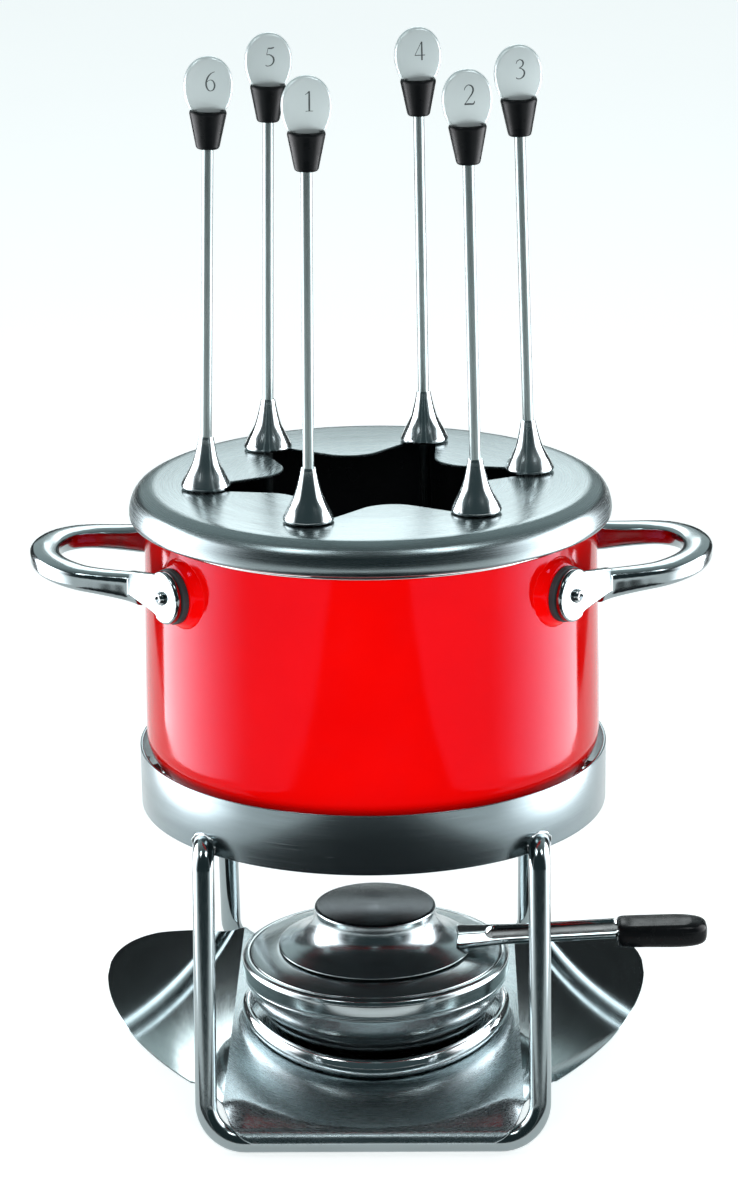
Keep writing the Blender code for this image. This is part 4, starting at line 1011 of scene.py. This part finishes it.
def grip():
    rows = spline([
        (GRIP_X0, 0.0146, 0.0086), (GRIP_X0 + 0.0008, 0.0160, 0.0096), (GRIP_X0 + 0.0030, 0.0168, 0.0102), (0.1120, 0.0170, 0.0106),
        (0.1210, 0.0170, 0.0108), (0.1265, 0.0158, 0.0104), (0.1304, 0.0130, 0.0094), (0.1326, 0.0088, 0.0072), (GRIP_X1, 0.0030, 0.0030),
    ], 6)
    bm = bmesh.new()
    rings = []
    count = 56
    for x, w, h in rows:
        z = 0.0502 + 0.010 * (x - GRIP_X0)
        ring = []
        for i in range(count):
            a = 2 * math.pi * (i + 0.5) / count
            c, s = math.cos(a), math.sin(a)
            y, dz = math.copysign(abs(c) ** 0.62, c) * w / 2, math.copysign(abs(s) ** 0.62, s) * h / 2
            # a shallow recessed panel with a fine outline along the top
            if s > 0.5 and 0.1010 < x < 0.1265:
                fade = min((x - 0.1010) / 0.0012, (0.1265 - x) / 0.0030, 1.0)
                dip = max(0.0, 1 - (abs(y) / (w * 0.36)) ** 6)
                dz -= 0.00045 * fade * dip
            ring.append(bm.verts.new((x, -y, z + dz)))
        rings.append(ring)
    skin(bm, rings)
    return publish("grip_moulding", bm, M_GRIP, 50)


done(grip(), "snuffer", "snuffer_grip", slot="black_plastic")

# CAD nodes that stay, with their own finish
for name, mat in (
    ("fuel_chamber", M_BOWL), ("fuel_wadding", M_WADDING), ("burner_gauze", M_GAUZE),
    ("pot_rest_1", M_POLISHED), ("pot_rest_2", M_POLISHED), ("pot_rest_3", M_POLISHED), ("pot_rest_4", M_POLISHED),
):
    node = NODES[name]
    for slot in node.material_slots:
        slot.material = mat

# --------------------------------------------------------------------- studio
def floor():
    bm = bmesh.new()
    bmesh.ops.create_grid(bm, x_segments=24, y_segments=24, size=9.0)
    made = publish("floor", bm, [], 0, recalc=False)
    s = Shader("pale_floor", (0.90, 0.905, 0.905), 0.85, 0.0)
    s.tint(s.noise(s.coord, 3.0, 3.0), (0.895, 0.90, 0.90), (0.91, 0.912, 0.912))
    s.bump(s.noise(s.coord, 900.0, 2.0), 0.02, 0.0001)
    s.set("Specular IOR Level", 0.15)
    s.set("Emission Color", (0.96, 0.985, 0.985, 1))
    s.set("Emission Strength", 0.62)
    made.data.materials.append(s.mat)


floor()


def softbox(name, centre, target, width, height, power, colour, fade=None, glossy=True, diffuse=True):
    """A rectangular studio light. fade names the side it dims towards."""
    light = bpy.data.lights.new(name, "AREA")
    light.shape = "RECTANGLE"
    light.size, light.size_y = width, height
    light.energy = power
    light.color = colour
    obj = bpy.data.objects.new(name, light)
    obj.location = centre
    direction = Vector(target) - Vector(centre)
    obj.rotation_euler = direction.to_track_quat("-Z", "Y").to_euler()
    scene.collection.objects.link(obj)
    obj.visible_camera = False
    obj.visible_glossy = glossy
    obj.visible_diffuse = diffuse
    if fade:
        light.use_nodes = True
        tree = light.node_tree
        emit = tree.nodes["Emission"]
        geo = tree.nodes.new("ShaderNodeNewGeometry")
        split = tree.nodes.new("ShaderNodeSeparateXYZ")
        tree.links.new(geo.outputs["Parametric"], split.inputs[0])
        ramp = tree.nodes.new("ShaderNodeMapRange")
        ramp.interpolation_type = "SMOOTHSTEP"
        a, b = fade
        ramp.inputs["From Min"].default_value = a
        ramp.inputs["From Max"].default_value = b
        tree.links.new(split.outputs[0], ramp.inputs["Value"])
        tree.links.new(ramp.outputs[0], emit.inputs["Strength"])
    return obj


COOL = (0.93, 0.985, 1.0)
BOX = (0.97, 0.97, 1.0)
softbox("left_box", (-0.44, -0.02, 0.225), (0, -0.02, 0.225), 0.555, 0.46, 7.4, BOX, fade=(1.0, 0.30), diffuse=False)
softbox("right_box", (0.44, -0.035, 0.225), (0, -0.035, 0.225), 0.53, 0.46, 7.0, BOX, fade=(0.0, 0.70), diffuse=False)
softbox("back_box", (0.0, 1.6, 1.10), (0, 0, 0.25), 0.62, 0.80, 5.0, COOL, diffuse=False)
softbox("upper_left", (-0.46, -0.42, 1.05), (0, -0.05, 0.05), 0.22, 0.30, 2.2, COOL, diffuse=False)
softbox("upper_right", (0.46, -0.42, 1.05), (0, -0.05, 0.05), 0.22, 0.30, 2.2, COOL, diffuse=False)
softbox("top_box", (0.0, 0.1, 2.1), (0, 0, 0), 2.6, 2.2, 12.0, (1, 1, 1), glossy=False)
softbox("front_fill", (0.0, -2.4, 1.1), (0, 0, 0.2), 1.8, 1.5, 30.0, (1, 1, 1), glossy=False)


def card(name, x, y, z0, z1, colour, strength):
    """A flat card behind the set that only shows in what the metal mirrors."""
    bm = bmesh.new()
    bm.faces.new([bm.verts.new(p) for p in ((-x, y, z0), (x, y, z0), (x, y, z1), (-x, y, z1))])
    made = publish(name, bm, [], 0, recalc=False)
    s = Shader(name, colour, 0.9, 0.0)
    s.set("Emission Color", (*colour, 1))
    s.set("Emission Strength", strength)
    s.bump(s.noise(s.coord, 60.0), 0.02, 0.001)
    made.data.materials.append(s.mat)
    made.visible_camera = made.visible_diffuse = made.visible_shadow = False


def flag(name, x0, x1, y0, y1):
    """A dark cloth on the floor that only shows in what the metal mirrors."""
    bm = bmesh.new()
    bm.faces.new([bm.verts.new((x, y, 0.0015)) for x, y in ((x0, y0), (x1, y0), (x1, y1), (x0, y1))])
    made = publish(name, bm, [], 0, recalc=False)
    s = Shader(name, (0.012, 0.016, 0.019), 0.9, 0.0)
    s.bump(s.noise(s.coord, 60.0), 0.02, 0.001)
    made.data.materials.append(s.mat)
    made.visible_camera = made.visible_diffuse = made.visible_shadow = False


def side_flag(name, x, y0, y1, z1):
    """A dark cloth standing behind a side box, hidden like the others."""
    bm = bmesh.new()
    bm.faces.new([bm.verts.new((x, y, z)) for y, z in ((y0, 0.0), (y1, 0.0), (y1, z1), (y0, z1))])
    made = publish(name, bm, [], 0, recalc=False)
    s = Shader(name, (0.010, 0.013, 0.015), 0.9, 0.0)
    s.bump(s.noise(s.coord, 60.0), 0.02, 0.001)
    made.data.materials.append(s.mat)
    made.visible_camera = made.visible_diffuse = made.visible_shadow = False


side_flag("left_flag", -0.47, 0.275, 1.10, 0.46)
side_flag("right_flag", 0.47, 0.250, 1.10, 0.46)
flag("front_flag", -0.30, 0.30, -1.30, -0.15)
card("dark_card", 0.55, 0.80, 0.193, 0.345, (0.004, 0.006, 0.007), 0.0)
card("bright_edge", 0.55, 0.80, 0.183, 0.193, (0.95, 1.0, 1.0), 4.0)

world = bpy.data.worlds.new("studio")
world.use_nodes = True
tree = world.node_tree
coords = tree.nodes.new("ShaderNodeTexCoord")
split = tree.nodes.new("ShaderNodeSeparateXYZ")
tree.links.new(coords.outputs["Generated"], split.inputs[0])
ramp = tree.nodes.new("ShaderNodeValToRGB")
ramp.color_ramp.elements[0].position = 0.30
ramp.color_ramp.elements[0].color = (0.035, 0.055, 0.060, 1)
ramp.color_ramp.elements[1].position = 0.85
ramp.color_ramp.elements[1].color = (0.58, 0.70, 0.71, 1)
spread = tree.nodes.new("ShaderNodeMapRange")
spread.inputs["From Min"].default_value = -1
tree.links.new(split.outputs[1], spread.inputs["Value"])
tree.links.new(spread.outputs[0], ramp.inputs["Fac"])
# seen directly, the backdrop is plain and pale all round, from any side
rays = tree.nodes.new("ShaderNodeLightPath")
plain = tree.nodes.new("ShaderNodeMix")
plain.data_type = "RGBA"
tree.links.new(rays.outputs["Is Camera Ray"], plain.inputs[0])
tree.links.new(ramp.outputs["Color"], plain.inputs[6])
plain.inputs[7].default_value = (0.97, 1.0, 1.0, 1)
tree.links.new(plain.outputs[2], tree.nodes["Background"].inputs["Color"])
tree.nodes["Background"].inputs["Strength"].default_value = 1.0
scene.world = world
scene.view_settings.view_transform = "Standard"
scene.view_settings.look = "None"

# --------------------------------------------------------------------- camera
pitch, roll, azimuth = math.radians(16.86), math.radians(-0.68), math.radians(-1.03)
forward = Vector((0, math.cos(pitch), -math.sin(pitch)))
right, up = Vector((1, 0, 0)), Vector((0, math.sin(pitch), math.cos(pitch)))
turned_right = math.cos(roll) * right + math.sin(roll) * up
turned_up = -math.sin(roll) * right + math.cos(roll) * up
spin = Matrix.Rotation(azimuth, 3, "Z").transposed()
right, up, forward = spin @ turned_right, spin @ turned_up, spin @ forward
camera = bpy.data.objects.new("camera", bpy.data.cameras.new("camera"))
scene.collection.objects.link(camera)
camera.data.sensor_fit = "VERTICAL"
camera.data.sensor_height = 36.0
camera.data.lens = 36.0 * 3695.3 / 1200
camera.data.clip_start, camera.data.clip_end = 0.05, 50.0
basis = Matrix((right, up, -forward)).transposed().to_4x4()
camera.matrix_world = Matrix.Translation((0.023919, -1.38549, 0.61015)) @ basis
scene.camera = camera
